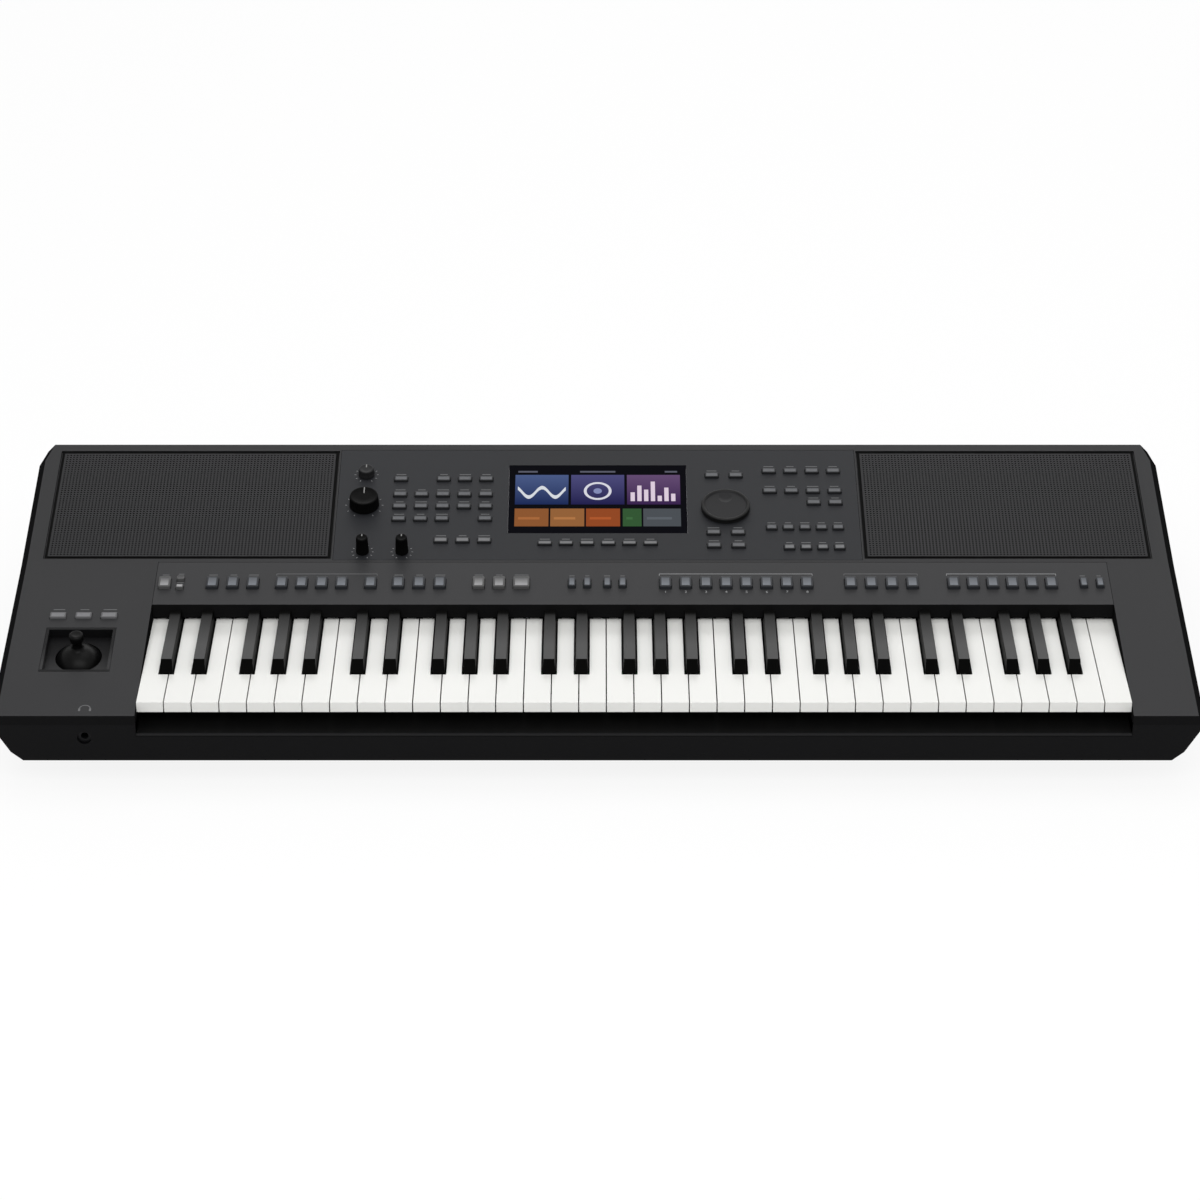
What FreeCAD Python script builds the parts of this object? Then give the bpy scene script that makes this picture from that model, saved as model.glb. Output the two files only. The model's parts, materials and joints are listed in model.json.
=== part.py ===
import FreeCAD
import Part
import Sketcher
import os

# A 61 key arranger keyboard, built as separate named pieces in one shared frame.
# X runs along the keys, Y from the player to the back, Z up. The origin lies on the table
# under the middle of the footprint. Sizes are in millimetres, angles in degrees.

doc = FreeCAD.newDocument("ArrangerKeyboard")
sheet = doc.addObject("Spreadsheet::Sheet", "Sizes")

SIZES = (
    # Case
    ("case_width", 1030.0),
    ("case_depth", 430.0),
    ("wall", 3.5),
    ("foot_height", 10.0),
    ("foot_radius", 11.0),
    ("foot_side", 90.0),
    ("foot_front", 90.0),
    ("foot_rear", 50.0),
    ("split_height", 65.0),
    ("heel_height", 38.0),
    ("heel_side", 15.5),
    ("chin_height", 29.5),
    ("chin_side", 25.5),
    ("belly_side", 54.0),
    ("belly_front", 55.0),
    ("belly_rear", 20.0),
    ("corner_in", 22.0),
    ("corner_run", 78.0),
    ("front_top", 74.0),
    ("strip_run", 211.0),
    ("strip_slope", 8.25),
    ("panel_run", 163.0),
    ("panel_slope", 11.45),
    ("rear_top", 88.0),
    ("side_chamfer", 6.0),
    ("seam", 0.25),
    # Screws and their posts
    ("post_radius", 4.5),
    ("post_front", 75.0),
    ("post_rear", 45.0),
    ("post_beside", 14.0),
    ("post_outer_x", 400.0),
    ("post_inner_x", 140.0),
    ("screw_radius", 1.5),
    ("screw_head_radius", 3.2),
    ("screw_head_height", 2.4),
    ("screw_length", 18.0),
    ("screw_gap", 0.3),
    ("screw_seat", 8.0),
    # Keys
    ("left_block", 123.0),
    ("white_pitch", 23.5),
    ("key_gap", 1.0),
    ("front_gap", 12.0),
    ("white_visible", 138.5),
    ("white_top", 80.0),
    ("white_thick", 9.5),
    ("head_length", 46.0),
    ("black_slot", 13.7),
    ("black_width", 11.2),
    ("black_crown", 9.4),
    ("black_height", 10.8),
    ("black_front_lean", 7.0),
    ("tail_run", 50.0),
    ("eye_width", 8.0),
    ("eye_back", 6.0),
    ("eye_drop", 5.0),
    ("rod_radius", 2.0),
    ("rod_gap", 0.06),
    ("white_swing", 3.0),
    ("black_swing", 3.4),
    ("stop_gap", 0.4),
    # Front rail under the keys
    ("slip_top", 56.0),
    ("slip_thick", 2.5),
    ("slip_flange", 12.0),
    ("slip_reach", 40.0),
    # Key chassis
    ("frame_top", 46.0),
    ("frame_sheet", 2.0),
    ("frame_front", 50.0),
    ("rib_thick", 2.0),
    ("rib_half", 7.0),
    ("rib_over", 4.0),
    ("dome_back", 70.0),
    ("dome_radius_x", 3.0),
    ("dome_length", 9.0),
    ("dome_height", 5.0),
    ("circuit_thick", 1.6),
    ("contact_depth", 36.0),
    # Button strip behind the keys
    ("strip_thick", 2.5),
    ("strip_skirt_gap", 2.5),
    ("strip_ledge", 6.0),
    ("strip_row", 181.5),
    # Control panel
    ("panel_thick", 2.0),
    ("panel_half", 236.5),
    ("panel_near", 3.0),
    ("panel_far", 158.0),
    ("panel_lip", 3.0),
    ("glass_width", 162.0),
    ("glass_height", 96.0),
    ("glass_middle", 88.0),
    ("glass_thick", 1.8),
    ("module_rim", 3.0),
    ("module_thick", 6.0),
    # Speaker grilles
    ("grille_inner", 239.0),
    ("grille_outer", 494.5),
    ("grille_near", 5.5),
    ("grille_far", 156.0),
    ("grille_thick", 1.6),
    ("grille_gap", 0.9),
    ("grille_recess", 1.8),
    ("woofer_x", 368.0),
    ("woofer_middle", 80.0),
    ("woofer_hole", 52.0),
    ("woofer_rim", 60.0),
    ("woofer_rim_thick", 3.0),
    ("woofer_depth", 34.0),
    ("woofer_magnet", 35.0),
    ("woofer_magnet_thick", 14.0),
    ("woofer_neck", 22.0),
    # Button caps
    ("cap_clear", 0.3),
    ("cap_rise", 2.0),
    ("strip_cap_rise", 3.2),
    ("cap_travel", 1.2),
    ("flange_side", 0.9),
    ("flange_thick", 1.0),
    ("board_drop", 9.0),
    ("switch_side", 4.5),
    ("grid_cap_x", 12.5),
    ("grid_cap_v", 6.5),
    ("slim_cap_x", 10.0),
    ("assign_cap_v", 5.0),
    ("strip_cap_x", 10.5),
    ("strip_cap_v", 14.5),
    ("wide_cap_x", 14.5),
    ("narrow_cap_x", 6.5),
    ("narrow_cap_v", 12.0),
    ("small_cap_x", 6.5),
    ("small_cap_v", 5.0),
    ("block_cap_x", 14.0),
    ("block_cap_v", 7.5),
    # Places of the buttons on the control panel
    ("left_first", -180.0),
    ("left_pitch", 19.5),
    ("left_row_1", 115.5),
    ("left_row_2", 93.5),
    ("left_row_3", 76.5),
    ("left_row_4", 59.0),
    ("left_row_5", 29.0),
    ("right_first", 157.0),
    ("right_pitch", 19.7),
    ("right_row_1", 127.0),
    ("right_row_2", 98.5),
    ("right_row_3", 82.0),
    ("right_row_4", 47.0),
    ("right_row_5", 19.5),
    ("right_slim_pitch", 15.0),
    ("assign_first", -47.5),
    ("assign_pitch", 19.0),
    ("assign_row", 25.0),
    ("menu_first", 104.5),
    ("menu_pitch", 22.0),
    ("menu_row_1", 120.7),
    ("menu_row_2", 40.0),
    ("menu_row_3", 22.0),
    # Places of the buttons on the strip from the left end of the keys, on the block from the case side
    ("tempo_x", 8.8),
    ("tap_x", 22.5),
    ("tap_row_shift", 6.0),
    ("intro_x", 50.9),
    ("intro_pitch", 17.95),
    ("variation_x", 112.2),
    ("variation_pitch", 17.7),
    ("break_x", 190.9),
    ("ending_x", 215.4),
    ("ending_pitch", 18.4),
    ("start_x", 286.6),
    ("start_pitch", 18.1),
    ("start_wide_x", 324.5),
    ("transpose_x", 369.2),
    ("transpose_pitch", 13.6),
    ("transpose_step", 31.3),
    ("register_x", 452.0),
    ("register_pitch", 17.9),
    ("touch_x", 616.0),
    ("touch_pitch", 18.2),
    ("part_x", 707.1),
    ("part_pitch", 17.3),
    ("octave_x", 822.3),
    ("octave_pitch", 14.5),
    ("block_first", 42.8),
    ("block_pitch", 22.3),
    ("block_row", 135.5),
    # Knobs and dial
    ("knob_gap", 0.5),
    ("shaft_radius", 3.0),
    ("shaft_gap", 0.08),
    ("shaft_hole_gap", 0.6),
    ("pot_side", 14.0),
    ("pot_height", 5.0),
    ("shaft_rest", 0.6),
    ("volume_x", -212.0),
    ("volume_v", 79.0),
    ("volume_radius", 13.6),
    ("volume_height", 11.0),
    ("gain_x", -212.0),
    ("gain_v", 122.5),
    ("gain_radius", 7.5),
    ("gain_height", 7.0),
    ("live_left_x", -210.5),
    ("live_right_x", -175.2),
    ("live_v", 14.0),
    ("live_radius", 5.9),
    ("live_height", 17.0),
    ("knob_taper", 0.8),
    ("knob_edge", 0.8),
    ("dial_x", 116.0),
    ("dial_v", 74.5),
    ("dial_radius", 22.2),
    ("dial_height", 4.6),
    ("dial_dish", 1.2),
    ("dial_edge", 1.0),
    # Joystick, placed from the case side
    ("joy_x", 65.0),
    ("joy_v", 89.5),
    ("joy_width", 60.5),
    ("joy_length", 60.0),
    ("joy_wall", 2.5),
    ("joy_depth", 9.0),
    ("joy_floor", 1.5),
    ("joy_flange", 4.0),
    ("joy_flange_thick", 2.0),
    ("joy_pivot_drop", 20.5),
    ("joy_dome", 22.0),
    ("joy_shell", 2.0),
    ("joy_hole_gap", 0.5),
    ("ring_gap", 0.5),
    ("ring_thick", 2.5),
    ("ring_half", 2.6),
    ("joy_pin", 1.5),
    ("joy_pin_gap", 0.06),
    ("ear_thick", 4.0),
    ("ear_half", 5.0),
    ("ear_gap", 0.8),
    ("stick_radius", 4.2),
    ("stick_top", 17.0),
    ("stick_cap_radius", 6.2),
    ("stick_cap_height", 7.0),
    # Sockets and boards inside
    ("jack_bore", 3.25),
    ("jack_hole", 6.0),
    ("jack_side", 15.0),
    ("jack_length", 24.0),
    ("jack_bore_depth", 18.0),
    ("jack_height", 48.0),
    ("socket_sill", 33.0),
    ("jack_first_x", 150.0),
    ("jack_pitch", 36.0),
    ("inlet_x", -245.0),
    ("inlet_bore", 2.8),
    ("phones_x", 79.0),
    ("phones_height", 52.0),
    ("usb_first_x", -210.0),
    ("usb_pitch", 34.0),
    ("usb_width", 12.6),
    ("usb_height", 5.4),
    ("usb_depth", 9.0),
    ("usb_side", 17.0),
    ("usb_tall", 11.0),
    ("main_width", 260.0),
    ("main_depth", 105.0),
    ("main_left", -150.0),
    ("main_front", 28.0),
    ("main_height", 25.0),
    ("post_small", 3.5),
    ("chip_side", 26.0),
    ("chip_height", 3.0),
    ("sink_width", 90.0),
    ("sink_depth", 16.0),
    ("sink_height", 28.0),
    ("can_radius", 8.0),
    ("can_height", 25.0),
)

row = 0
for name, value in SIZES:
    row += 1
    sheet.set(f"A{row}", name)
    sheet.set(f"B{row}", str(value))
    sheet.setAlias(f"B{row}", name)
doc.recompute()

OCTAVES = 5
WHITES = 36

# Lines of the body that many pieces share, as rules on the sizes above
half_x = "(Sizes.case_width / 2)"
front_y = "(-Sizes.case_depth / 2)"
rear_y = "(Sizes.case_depth / 2)"
floor_z = "(Sizes.foot_height + Sizes.wall)"
key_left = f"(Sizes.left_block - {half_x})"
key_right = f"({key_left} + {WHITES} * Sizes.white_pitch)"
key_front = f"({front_y} + Sizes.front_gap)"
key_back = f"({key_front} + Sizes.white_visible)"
key_under = "(Sizes.white_top - Sizes.white_thick)"
pivot_y = f"({key_back} + Sizes.tail_run)"
pivot_z = "(Sizes.white_top - Sizes.eye_drop)"
joy_middle = f"(Sizes.joy_x - {half_x})"
block_middle = f"(Sizes.block_first - {half_x})"
phones_middle = f"(Sizes.phones_x - {half_x})"
crease_y = f"({front_y} + Sizes.strip_run)"
crease_z = "(Sizes.front_top + Sizes.strip_run * tan(Sizes.strip_slope))"
crease_v = "(Sizes.strip_run / cos(Sizes.strip_slope))"
ridge_y = f"({crease_y} + Sizes.panel_run)"
ridge_z = f"({crease_z} + Sizes.panel_run * tan(Sizes.panel_slope))"
rear_fall = f"(({ridge_z} - Sizes.rear_top) / ({rear_y} - {ridge_y}))"
strip_under = "(Sizes.strip_thick / cos(Sizes.strip_slope))"
block_under = "(Sizes.wall * cos(Sizes.strip_slope) / cos(Sizes.panel_slope))"


def number(rule):
    """The value that a rule has now."""
    return float(sheet.evalExpression(rule))


def deck(y):
    """Height of the lower top plane at a given depth."""
    return f"(Sizes.front_top + (({y}) - {front_y}) * tan(Sizes.strip_slope))"


def bind(item, **rules):
    for prop, rule in rules.items():
        item.setExpression(prop, rule)


def seat(item, x="0", y="0", z="0"):
    item.setExpression(".Placement.Base.x", x)
    item.setExpression(".Placement.Base.y", y)
    item.setExpression(".Placement.Base.z", z)


def tilt(item, frame, x="0", v="0"):
    """Put a piece made flat onto the strip plane or the panel plane, at x and v along it."""
    slope = "Sizes.strip_slope" if frame == "strip" else "Sizes.panel_slope"
    base_y = front_y if frame == "strip" else crease_y
    base_z = "Sizes.front_top" if frame == "strip" else crease_z
    turn = FreeCAD.Rotation(FreeCAD.Vector(1, 0, 0), number(slope))
    item.Placement = FreeCAD.Placement(FreeCAD.Vector(0, 0, 0), turn)
    item.setExpression(".Placement.Rotation.Angle", slope)
    seat(item, x, f"{base_y} + ({v}) * cos({slope})", f"{base_z} + ({v}) * sin({slope})")


def box(label, sizes, corner):
    item = doc.addObject("Part::Box", label)
    bind(item, Length=sizes[0], Width=sizes[1], Height=sizes[2])
    seat(item, *corner)
    return item


def cylinder(label, radius, height, corner, along="z"):
    item = doc.addObject("Part::Cylinder", label)
    turns = {"x": ((0, 1, 0), 90), "y": ((1, 0, 0), -90), "z": ((0, 0, 1), 0)}
    axis, angle = turns[along]
    turn = FreeCAD.Rotation(FreeCAD.Vector(*axis), angle)
    item.Placement = FreeCAD.Placement(FreeCAD.Vector(0, 0, 0), turn)
    bind(item, Radius=radius, Height=height)
    seat(item, *corner)
    return item


def cut(label, base, tool):
    item = doc.addObject("Part::Cut", label)
    item.Base = base
    item.Tool = tool
    return item


def fuse(label, pieces):
    item = doc.addObject("Part::MultiFuse", label)
    item.Shapes = pieces
    item.Refine = True
    return item


def common(label, pieces):
    item = doc.addObject("Part::MultiCommon", label)
    item.Shapes = pieces
    return item


def group(label, pieces):
    item = doc.addObject("Part::Compound", label)
    item.Links = pieces
    return item


def outline(label, corners, plane="side", offset="0"):
    """A closed outline of straight edges, each corner held by two bound distances."""
    sketch = doc.addObject("Sketcher::SketchObject", label)
    turn = FreeCAD.Rotation()
    if plane == "side":
        turn = FreeCAD.Rotation(FreeCAD.Vector(1, 1, 1), 120)
    sketch.Placement = FreeCAD.Placement(FreeCAD.Vector(0, 0, 0), turn)
    if plane == "side":
        sketch.setExpression(".Placement.Base.x", offset)
    else:
        sketch.setExpression(".Placement.Base.z", offset)
    hold_corners(sketch, corners)
    return sketch


def hold_corners(sketch, corners):
    count = len(corners)
    spots = [FreeCAD.Vector(number(a), number(b), 0) for a, b in corners]
    for i in range(count):
        sketch.addGeometry(Part.LineSegment(spots[i], spots[(i + 1) % count]))
    for i in range(count):
        sketch.addConstraint(Sketcher.Constraint("Coincident", i, 2, (i + 1) % count, 1))
    for i, (a, b) in enumerate(corners):
        for kind, rule, at in (("DistanceX", a, spots[i].x), ("DistanceY", b, spots[i].y)):
            held = sketch.addConstraint(Sketcher.Constraint(kind, -1, 1, i, 1, at))
            sketch.setExpression(f"Constraints[{held}]", rule)


def prism(label, sketch, length):
    item = doc.addObject("Part::Extrusion", label)
    item.Base = sketch
    item.DirMode = "Normal"
    item.Solid = True
    item.setExpression("LengthFwd", length)
    return item


def turned(label, corners):
    """A body of revolution about its own upright axis, from radius and height corners."""
    body = doc.addObject("PartDesign::Body", label)
    sketch = body.newObject("Sketcher::SketchObject", f"{label}_profile")
    plane = [f for f in body.Origin.OriginFeatures if f.Role == "XZ_Plane"][0]
    sketch.AttachmentSupport = [(plane, "")]
    sketch.MapMode = "FlatFace"
    hold_corners(sketch, corners)
    spin = body.newObject("PartDesign::Revolution", f"{label}_turn")
    spin.Profile = sketch
    spin.ReferenceAxis = (sketch, ["V_Axis"])
    spin.Angle = 360
    return body


def hexagon(label, inset, front_in, rear_in, z):
    """The plan of the case with its rear corners taken off."""
    side = f"({half_x} - ({inset}))"
    front = f"({front_y} + ({front_in}))"
    rear = f"({rear_y} - ({rear_in}))"
    bend = f"({rear} - Sizes.corner_run)"
    back = f"({side} - Sizes.corner_in)"
    corners = (
        (f"-{side}", front), (side, front), (side, bend),
        (back, rear), (f"-{back}", rear), (f"-{side}", bend),
    )
    return outline(label, corners, "plan", z)


# Screw posts: two beside the key opening, four along the back
post_front_y = f"({front_y} + Sizes.post_front)"
post_rear_y = f"({rear_y} - Sizes.post_rear)"
POSTS = (
    (f"({key_left} - Sizes.post_beside)", post_front_y),
    (f"({key_right} + Sizes.post_beside)", post_front_y),
    ("(-Sizes.post_outer_x)", post_rear_y),
    ("(-Sizes.post_inner_x)", post_rear_y),
    ("Sizes.post_inner_x", post_rear_y),
    ("Sizes.post_outer_x", post_rear_y),
)

# Upper case: a shell under two top planes, open below, with the key opening and the deck recesses
tall = f"({ridge_z} - Sizes.split_height + Sizes.wall)"
upper_side = prism("upper_side", outline("upper_side_line", (
    (front_y, "Sizes.split_height"), (front_y, "Sizes.front_top"), (crease_y, crease_z),
    (ridge_y, ridge_z), (rear_y, "Sizes.rear_top"), (rear_y, "Sizes.split_height"),
), "side", f"-{half_x}"), "Sizes.case_width")
upper_plan = prism("upper_plan", hexagon("upper_plan_line", "0", "0", "0", "Sizes.split_height"), tall)
upper_block = common("upper_block", [upper_side, upper_plan])
doc.recompute()

upper_soft = doc.addObject("Part::Chamfer", "upper_soft")
upper_soft.Base = upper_block
side_edges = []
for index, edge in enumerate(upper_block.Shape.Edges, 1):
    start = edge.Vertexes[0].Point
    end = edge.Vertexes[-1].Point
    near_side = min(abs(start.x), abs(end.x)) > number(f"{half_x} - Sizes.corner_in - Sizes.seam")
    one_side = start.x * end.x > 0
    above = min(start.z, end.z) > number("Sizes.split_height + Sizes.seam")
    upright = abs(start.x - end.x) + abs(start.y - end.y) < number("Sizes.seam")
    if near_side and one_side and above and not upright:
        side_edges.append((index, number("Sizes.side_chamfer"), number("Sizes.side_chamfer")))
upper_soft.Edges = side_edges

under = "(Sizes.wall / cos(Sizes.panel_slope))"
rear_in_z = f"(Sizes.rear_top + Sizes.wall * {rear_fall} - Sizes.wall * sqrt(1 + {rear_fall} ^ 2))"
upper_in_side = prism("upper_in_side", outline("upper_in_side_line", (
    (f"{front_y} + Sizes.wall", "Sizes.split_height - Sizes.wall"),
    (f"{front_y} + Sizes.wall", f"{deck(front_y + ' + Sizes.wall')} - {under}"),
    (crease_y, f"{crease_z} - {under}"),
    (f"{ridge_y} - Sizes.wall / 2", f"{ridge_z} - Sizes.wall / 2 * tan(Sizes.panel_slope) - {under}"),
    (f"{rear_y} - Sizes.wall", rear_in_z),
    (f"{rear_y} - Sizes.wall", "Sizes.split_height - Sizes.wall"),
), "side", f"-{half_x}"), "Sizes.case_width")
upper_in_plan = prism("upper_in_plan", hexagon(
    "upper_in_plan_line", "Sizes.wall + Sizes.side_chamfer / 2", "Sizes.wall", "Sizes.wall",
    "Sizes.split_height - Sizes.wall"), f"{tall} + 2 * Sizes.wall")
upper_room = common("upper_room", [upper_in_side, upper_in_plan])
block_wall_run = f"({crease_y} - {front_y})"
kept = [
    box("left_block_wall", ("Sizes.wall", block_wall_run, tall),
        (f"{key_left} - Sizes.wall", front_y, "Sizes.split_height")),
    box("right_block_wall", ("Sizes.wall", block_wall_run, tall),
        (key_right, front_y, "Sizes.split_height")),
]
for i, (x, y) in enumerate(POSTS):
    kept.append(cylinder(f"upper_post_{i}", "Sizes.post_radius", tall, (x, y, "Sizes.split_height")))
upper_hollow = cut("upper_hollow", upper_room, fuse("upper_kept", kept))
upper_shell = cut("upper_shell", upper_soft, upper_hollow)
key_opening = box("key_opening", (
    f"{key_right} - {key_left}", "Sizes.strip_run - Sizes.strip_ledge + Sizes.wall",
    f"{tall} + Sizes.wall"),
    (key_left, f"{front_y} - Sizes.wall", "Sizes.split_height - Sizes.wall"))
upper_open = cut("upper_open", upper_shell, key_opening)

# Cuts made square to the lower plane: strip seat, joystick place, block buttons
over = "(2 * Sizes.wall)"
strip_seat_start = f"({crease_v} - 3 * Sizes.strip_ledge)"
lower_tools = [
    box("strip_seat", (f"{key_right} - {key_left}", "3 * Sizes.strip_ledge", f"Sizes.strip_thick + {over}"),
        (key_left, strip_seat_start, "-Sizes.strip_thick")),
    box("joy_place", (
        "Sizes.joy_width + 2 * Sizes.seam", "Sizes.joy_length + 2 * Sizes.seam", f"2 * {over}"),
        (f"{joy_middle} - Sizes.joy_width / 2 - Sizes.seam",
         "Sizes.joy_v - Sizes.joy_length / 2 - Sizes.seam", f"-{over}")),
]


def button_hole(label, x, v, cap_x, cap_v):
    wide = f"({cap_x} + 2 * Sizes.cap_clear)"
    long = f"({cap_v} + 2 * Sizes.cap_clear)"
    return box(label, (wide, long, f"2 * {over}"), (f"{x} - {wide} / 2", f"{v} - {long} / 2", f"-{over}"))


block_spots = [(f"{block_middle} + {i} * Sizes.block_pitch", "Sizes.block_row") for i in range(3)]
for i, (x, v) in enumerate(block_spots):
    lower_tools.append(button_hole(f"block_hole_{i}", x, v, "Sizes.block_cap_x", "Sizes.block_cap_v"))
lower_cuts = group("lower_cuts", lower_tools)
tilt(lower_cuts, "strip")
upper_strip_cut = cut("upper_strip_cut", upper_open, lower_cuts)

# Cuts made square to the upper plane: panel and grille seats, then what opens right through
panel_run_v = "(Sizes.panel_far - Sizes.panel_near)"
grille_run = "(Sizes.grille_far - Sizes.grille_near + 2 * Sizes.grille_gap)"
grille_wide = "(Sizes.grille_outer - Sizes.grille_inner + 2 * Sizes.grille_gap)"
grille_start = "(Sizes.grille_near - Sizes.grille_gap)"
seats = group("panel_seats", [
    box("panel_seat", ("2 * Sizes.panel_half + 2 * Sizes.seam", f"{panel_run_v} + 2 * Sizes.seam",
                       f"Sizes.panel_thick + {over}"),
        ("-Sizes.panel_half - Sizes.seam", "Sizes.panel_near - Sizes.seam", "-Sizes.panel_thick")),
    box("grille_seat_left", (grille_wide, grille_run, f"Sizes.grille_recess + {over}"),
        ("-Sizes.grille_outer - Sizes.grille_gap", grille_start, "-Sizes.grille_recess")),
    box("grille_seat_right", (grille_wide, grille_run, f"Sizes.grille_recess + {over}"),
        ("Sizes.grille_inner - Sizes.grille_gap", grille_start, "-Sizes.grille_recess")),
])
tilt(seats, "panel")
upper_seated = cut("upper_seated", upper_strip_cut, seats)
throughs = group("panel_throughs", [
    box("panel_through", ("2 * Sizes.panel_half - 2 * Sizes.panel_lip",
                          f"{panel_run_v} - 2 * Sizes.panel_lip", f"2 * {over}"),
        ("-Sizes.panel_half + Sizes.panel_lip", "Sizes.panel_near + Sizes.panel_lip", f"-{over}")),
    cylinder("woofer_through_left", "Sizes.woofer_hole", f"2 * {over}",
             ("-Sizes.woofer_x", "Sizes.woofer_middle", f"-{over}")),
    cylinder("woofer_through_right", "Sizes.woofer_hole", f"2 * {over}",
             ("Sizes.woofer_x", "Sizes.woofer_middle", f"-{over}")),
])
tilt(throughs, "panel")
upper_through = cut("upper_through", upper_seated, throughs)
upper_bores = [
    cylinder(f"upper_bore_{i}", "Sizes.screw_radius + Sizes.screw_gap / 5",
             "Sizes.screw_length", (x, y, "Sizes.split_height - Sizes.seam"))
    for i, (x, y) in enumerate(POSTS)
]
cut("upper_case", upper_through, group("upper_bores", upper_bores))

# Lower case: a tub with a flat belly, a sloped chin, sides that roll under, and posts for the screws
lower_outer = doc.addObject("Part::Loft", "lower_outer")
lower_outer.Sections = [
    hexagon("belly_line", "Sizes.belly_side", "Sizes.belly_front", "Sizes.belly_rear", "Sizes.foot_height"),
    hexagon("chin_line", "Sizes.chin_side", "0", "0", "Sizes.chin_height"),
    hexagon("heel_line", "Sizes.heel_side", "0", "0", "Sizes.heel_height"),
    hexagon("split_line", "0", "0", "0", "Sizes.split_height"),
]
lower_outer.Solid = True
lower_outer.Ruled = True
lower_inner = doc.addObject("Part::Loft", "lower_inner")
lower_inner.Sections = [
    hexagon("belly_in_line", "Sizes.belly_side + Sizes.wall", "Sizes.belly_front + Sizes.wall",
            "Sizes.belly_rear + Sizes.wall", floor_z),
    hexagon("chin_in_line", "Sizes.chin_side + Sizes.wall", "Sizes.wall", "Sizes.wall",
            "Sizes.chin_height + Sizes.wall"),
    hexagon("heel_in_line", "Sizes.heel_side + Sizes.wall", "Sizes.wall", "Sizes.wall",
            "Sizes.heel_height + Sizes.wall / 2"),
    hexagon("split_in_line", "Sizes.wall", "Sizes.wall", "Sizes.wall", "Sizes.split_height + Sizes.seam"),
]
lower_inner.Solid = True
lower_inner.Ruled = True
post_run = "(Sizes.split_height - Sizes.foot_height)"
lower_posts = [
    cylinder(f"lower_post_{i}", "Sizes.post_radius", post_run, (x, y, "Sizes.foot_height"))
    for i, (x, y) in enumerate(POSTS)
]
lower_hollow = cut("lower_hollow", lower_inner, group("lower_posts", lower_posts))
lower_shell = cut("lower_shell", lower_outer, lower_hollow)
slip_under = "(Sizes.slip_top - Sizes.slip_thick)"
lower_low = cut("lower_low", lower_shell, box("front_wall_drop", (
    f"{key_right} - {key_left}", "Sizes.front_gap + Sizes.wall", "Sizes.split_height"),
    (key_left, f"{front_y} - Sizes.wall", slip_under)))
screw_face = "(Sizes.split_height - Sizes.screw_seat)"
lower_bores = []
for i, (x, y) in enumerate(POSTS):
    lower_bores.append(cylinder(f"lower_bore_{i}", "Sizes.screw_radius + Sizes.screw_gap",
                                "Sizes.split_height", (x, y, "0")))
lower_wells = []
for i, (x, y) in enumerate(POSTS):
    lower_wells.append(cylinder(f"lower_well_{i}", "Sizes.screw_head_radius + Sizes.screw_gap",
                                screw_face, (x, y, "0")))
lower_bored = cut("lower_bored", lower_low, group("lower_bores", lower_bores))
lower_welled = cut("lower_welled", lower_bored, group("lower_wells", lower_wells))

jack_spots = [f"Sizes.jack_first_x + {i} * Sizes.jack_pitch" for i in range(4)]
usb_spots = [f"Sizes.usb_first_x + {i} * Sizes.usb_pitch" for i in range(2)]
wall_through = "(3 * Sizes.wall)"
rear_hole_y = f"({rear_y} - 2 * Sizes.wall)"
MODULES = [(x, "Sizes.jack_pitch") for x in (*jack_spots, "Sizes.inlet_x")]
MODULES += [(x, "Sizes.usb_pitch") for x in usb_spots]
socket_holes = [
    box(f"socket_notch_{i}", (pitch, wall_through, "Sizes.split_height"),
        (f"{x} - {pitch} / 2", rear_hole_y, "Sizes.socket_sill"))
    for i, (x, pitch) in enumerate(MODULES)
]
socket_holes.append(cylinder("phones_hole", "Sizes.jack_hole", wall_through,
                             (phones_middle, f"{front_y} - Sizes.wall", "Sizes.phones_height"), "y"))
cut("lower_case", lower_welled, group("socket_holes", socket_holes))

# Feet and screws
feet = []
for i, side in enumerate(("-", "")):
    for j, y in enumerate((f"{front_y} + Sizes.foot_front", f"{rear_y} - Sizes.foot_rear")):
        feet.append(cylinder(f"foot_{i}_{j}", "Sizes.foot_radius", "Sizes.foot_height",
                             (f"{side}({half_x} - Sizes.foot_side)", y, "0")))
group("rubber_feet", feet)
screws = []
for i, (x, y) in enumerate(POSTS):
    screws.append(cylinder(f"screw_head_{i}", "Sizes.screw_head_radius", "Sizes.screw_head_height",
                           (x, y, f"{screw_face} - Sizes.screw_head_height")))
    screws.append(cylinder(f"screw_shank_{i}", "Sizes.screw_radius", "Sizes.screw_length",
                           (x, y, screw_face)))
fuse("case_screws", screws)

# Front rail below the key fronts: a ledge with a flange behind the front wall
slip_flange_y = f"({front_y} + Sizes.wall + Sizes.seam)"
prism("key_slip", outline("key_slip_line", (
    (front_y, "Sizes.slip_top"), (front_y, slip_under), (slip_flange_y, slip_under),
    (slip_flange_y, "Sizes.slip_top - Sizes.slip_flange"),
    (f"{slip_flange_y} + Sizes.slip_thick", "Sizes.slip_top - Sizes.slip_flange"),
    (f"{slip_flange_y} + Sizes.slip_thick", slip_under),
    (f"{front_y} + Sizes.slip_reach", slip_under), (f"{front_y} + Sizes.slip_reach", "Sizes.slip_top"),
), "side", f"{key_left} + Sizes.seam"), f"{key_right} - {key_left} - 2 * Sizes.seam")

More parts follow.
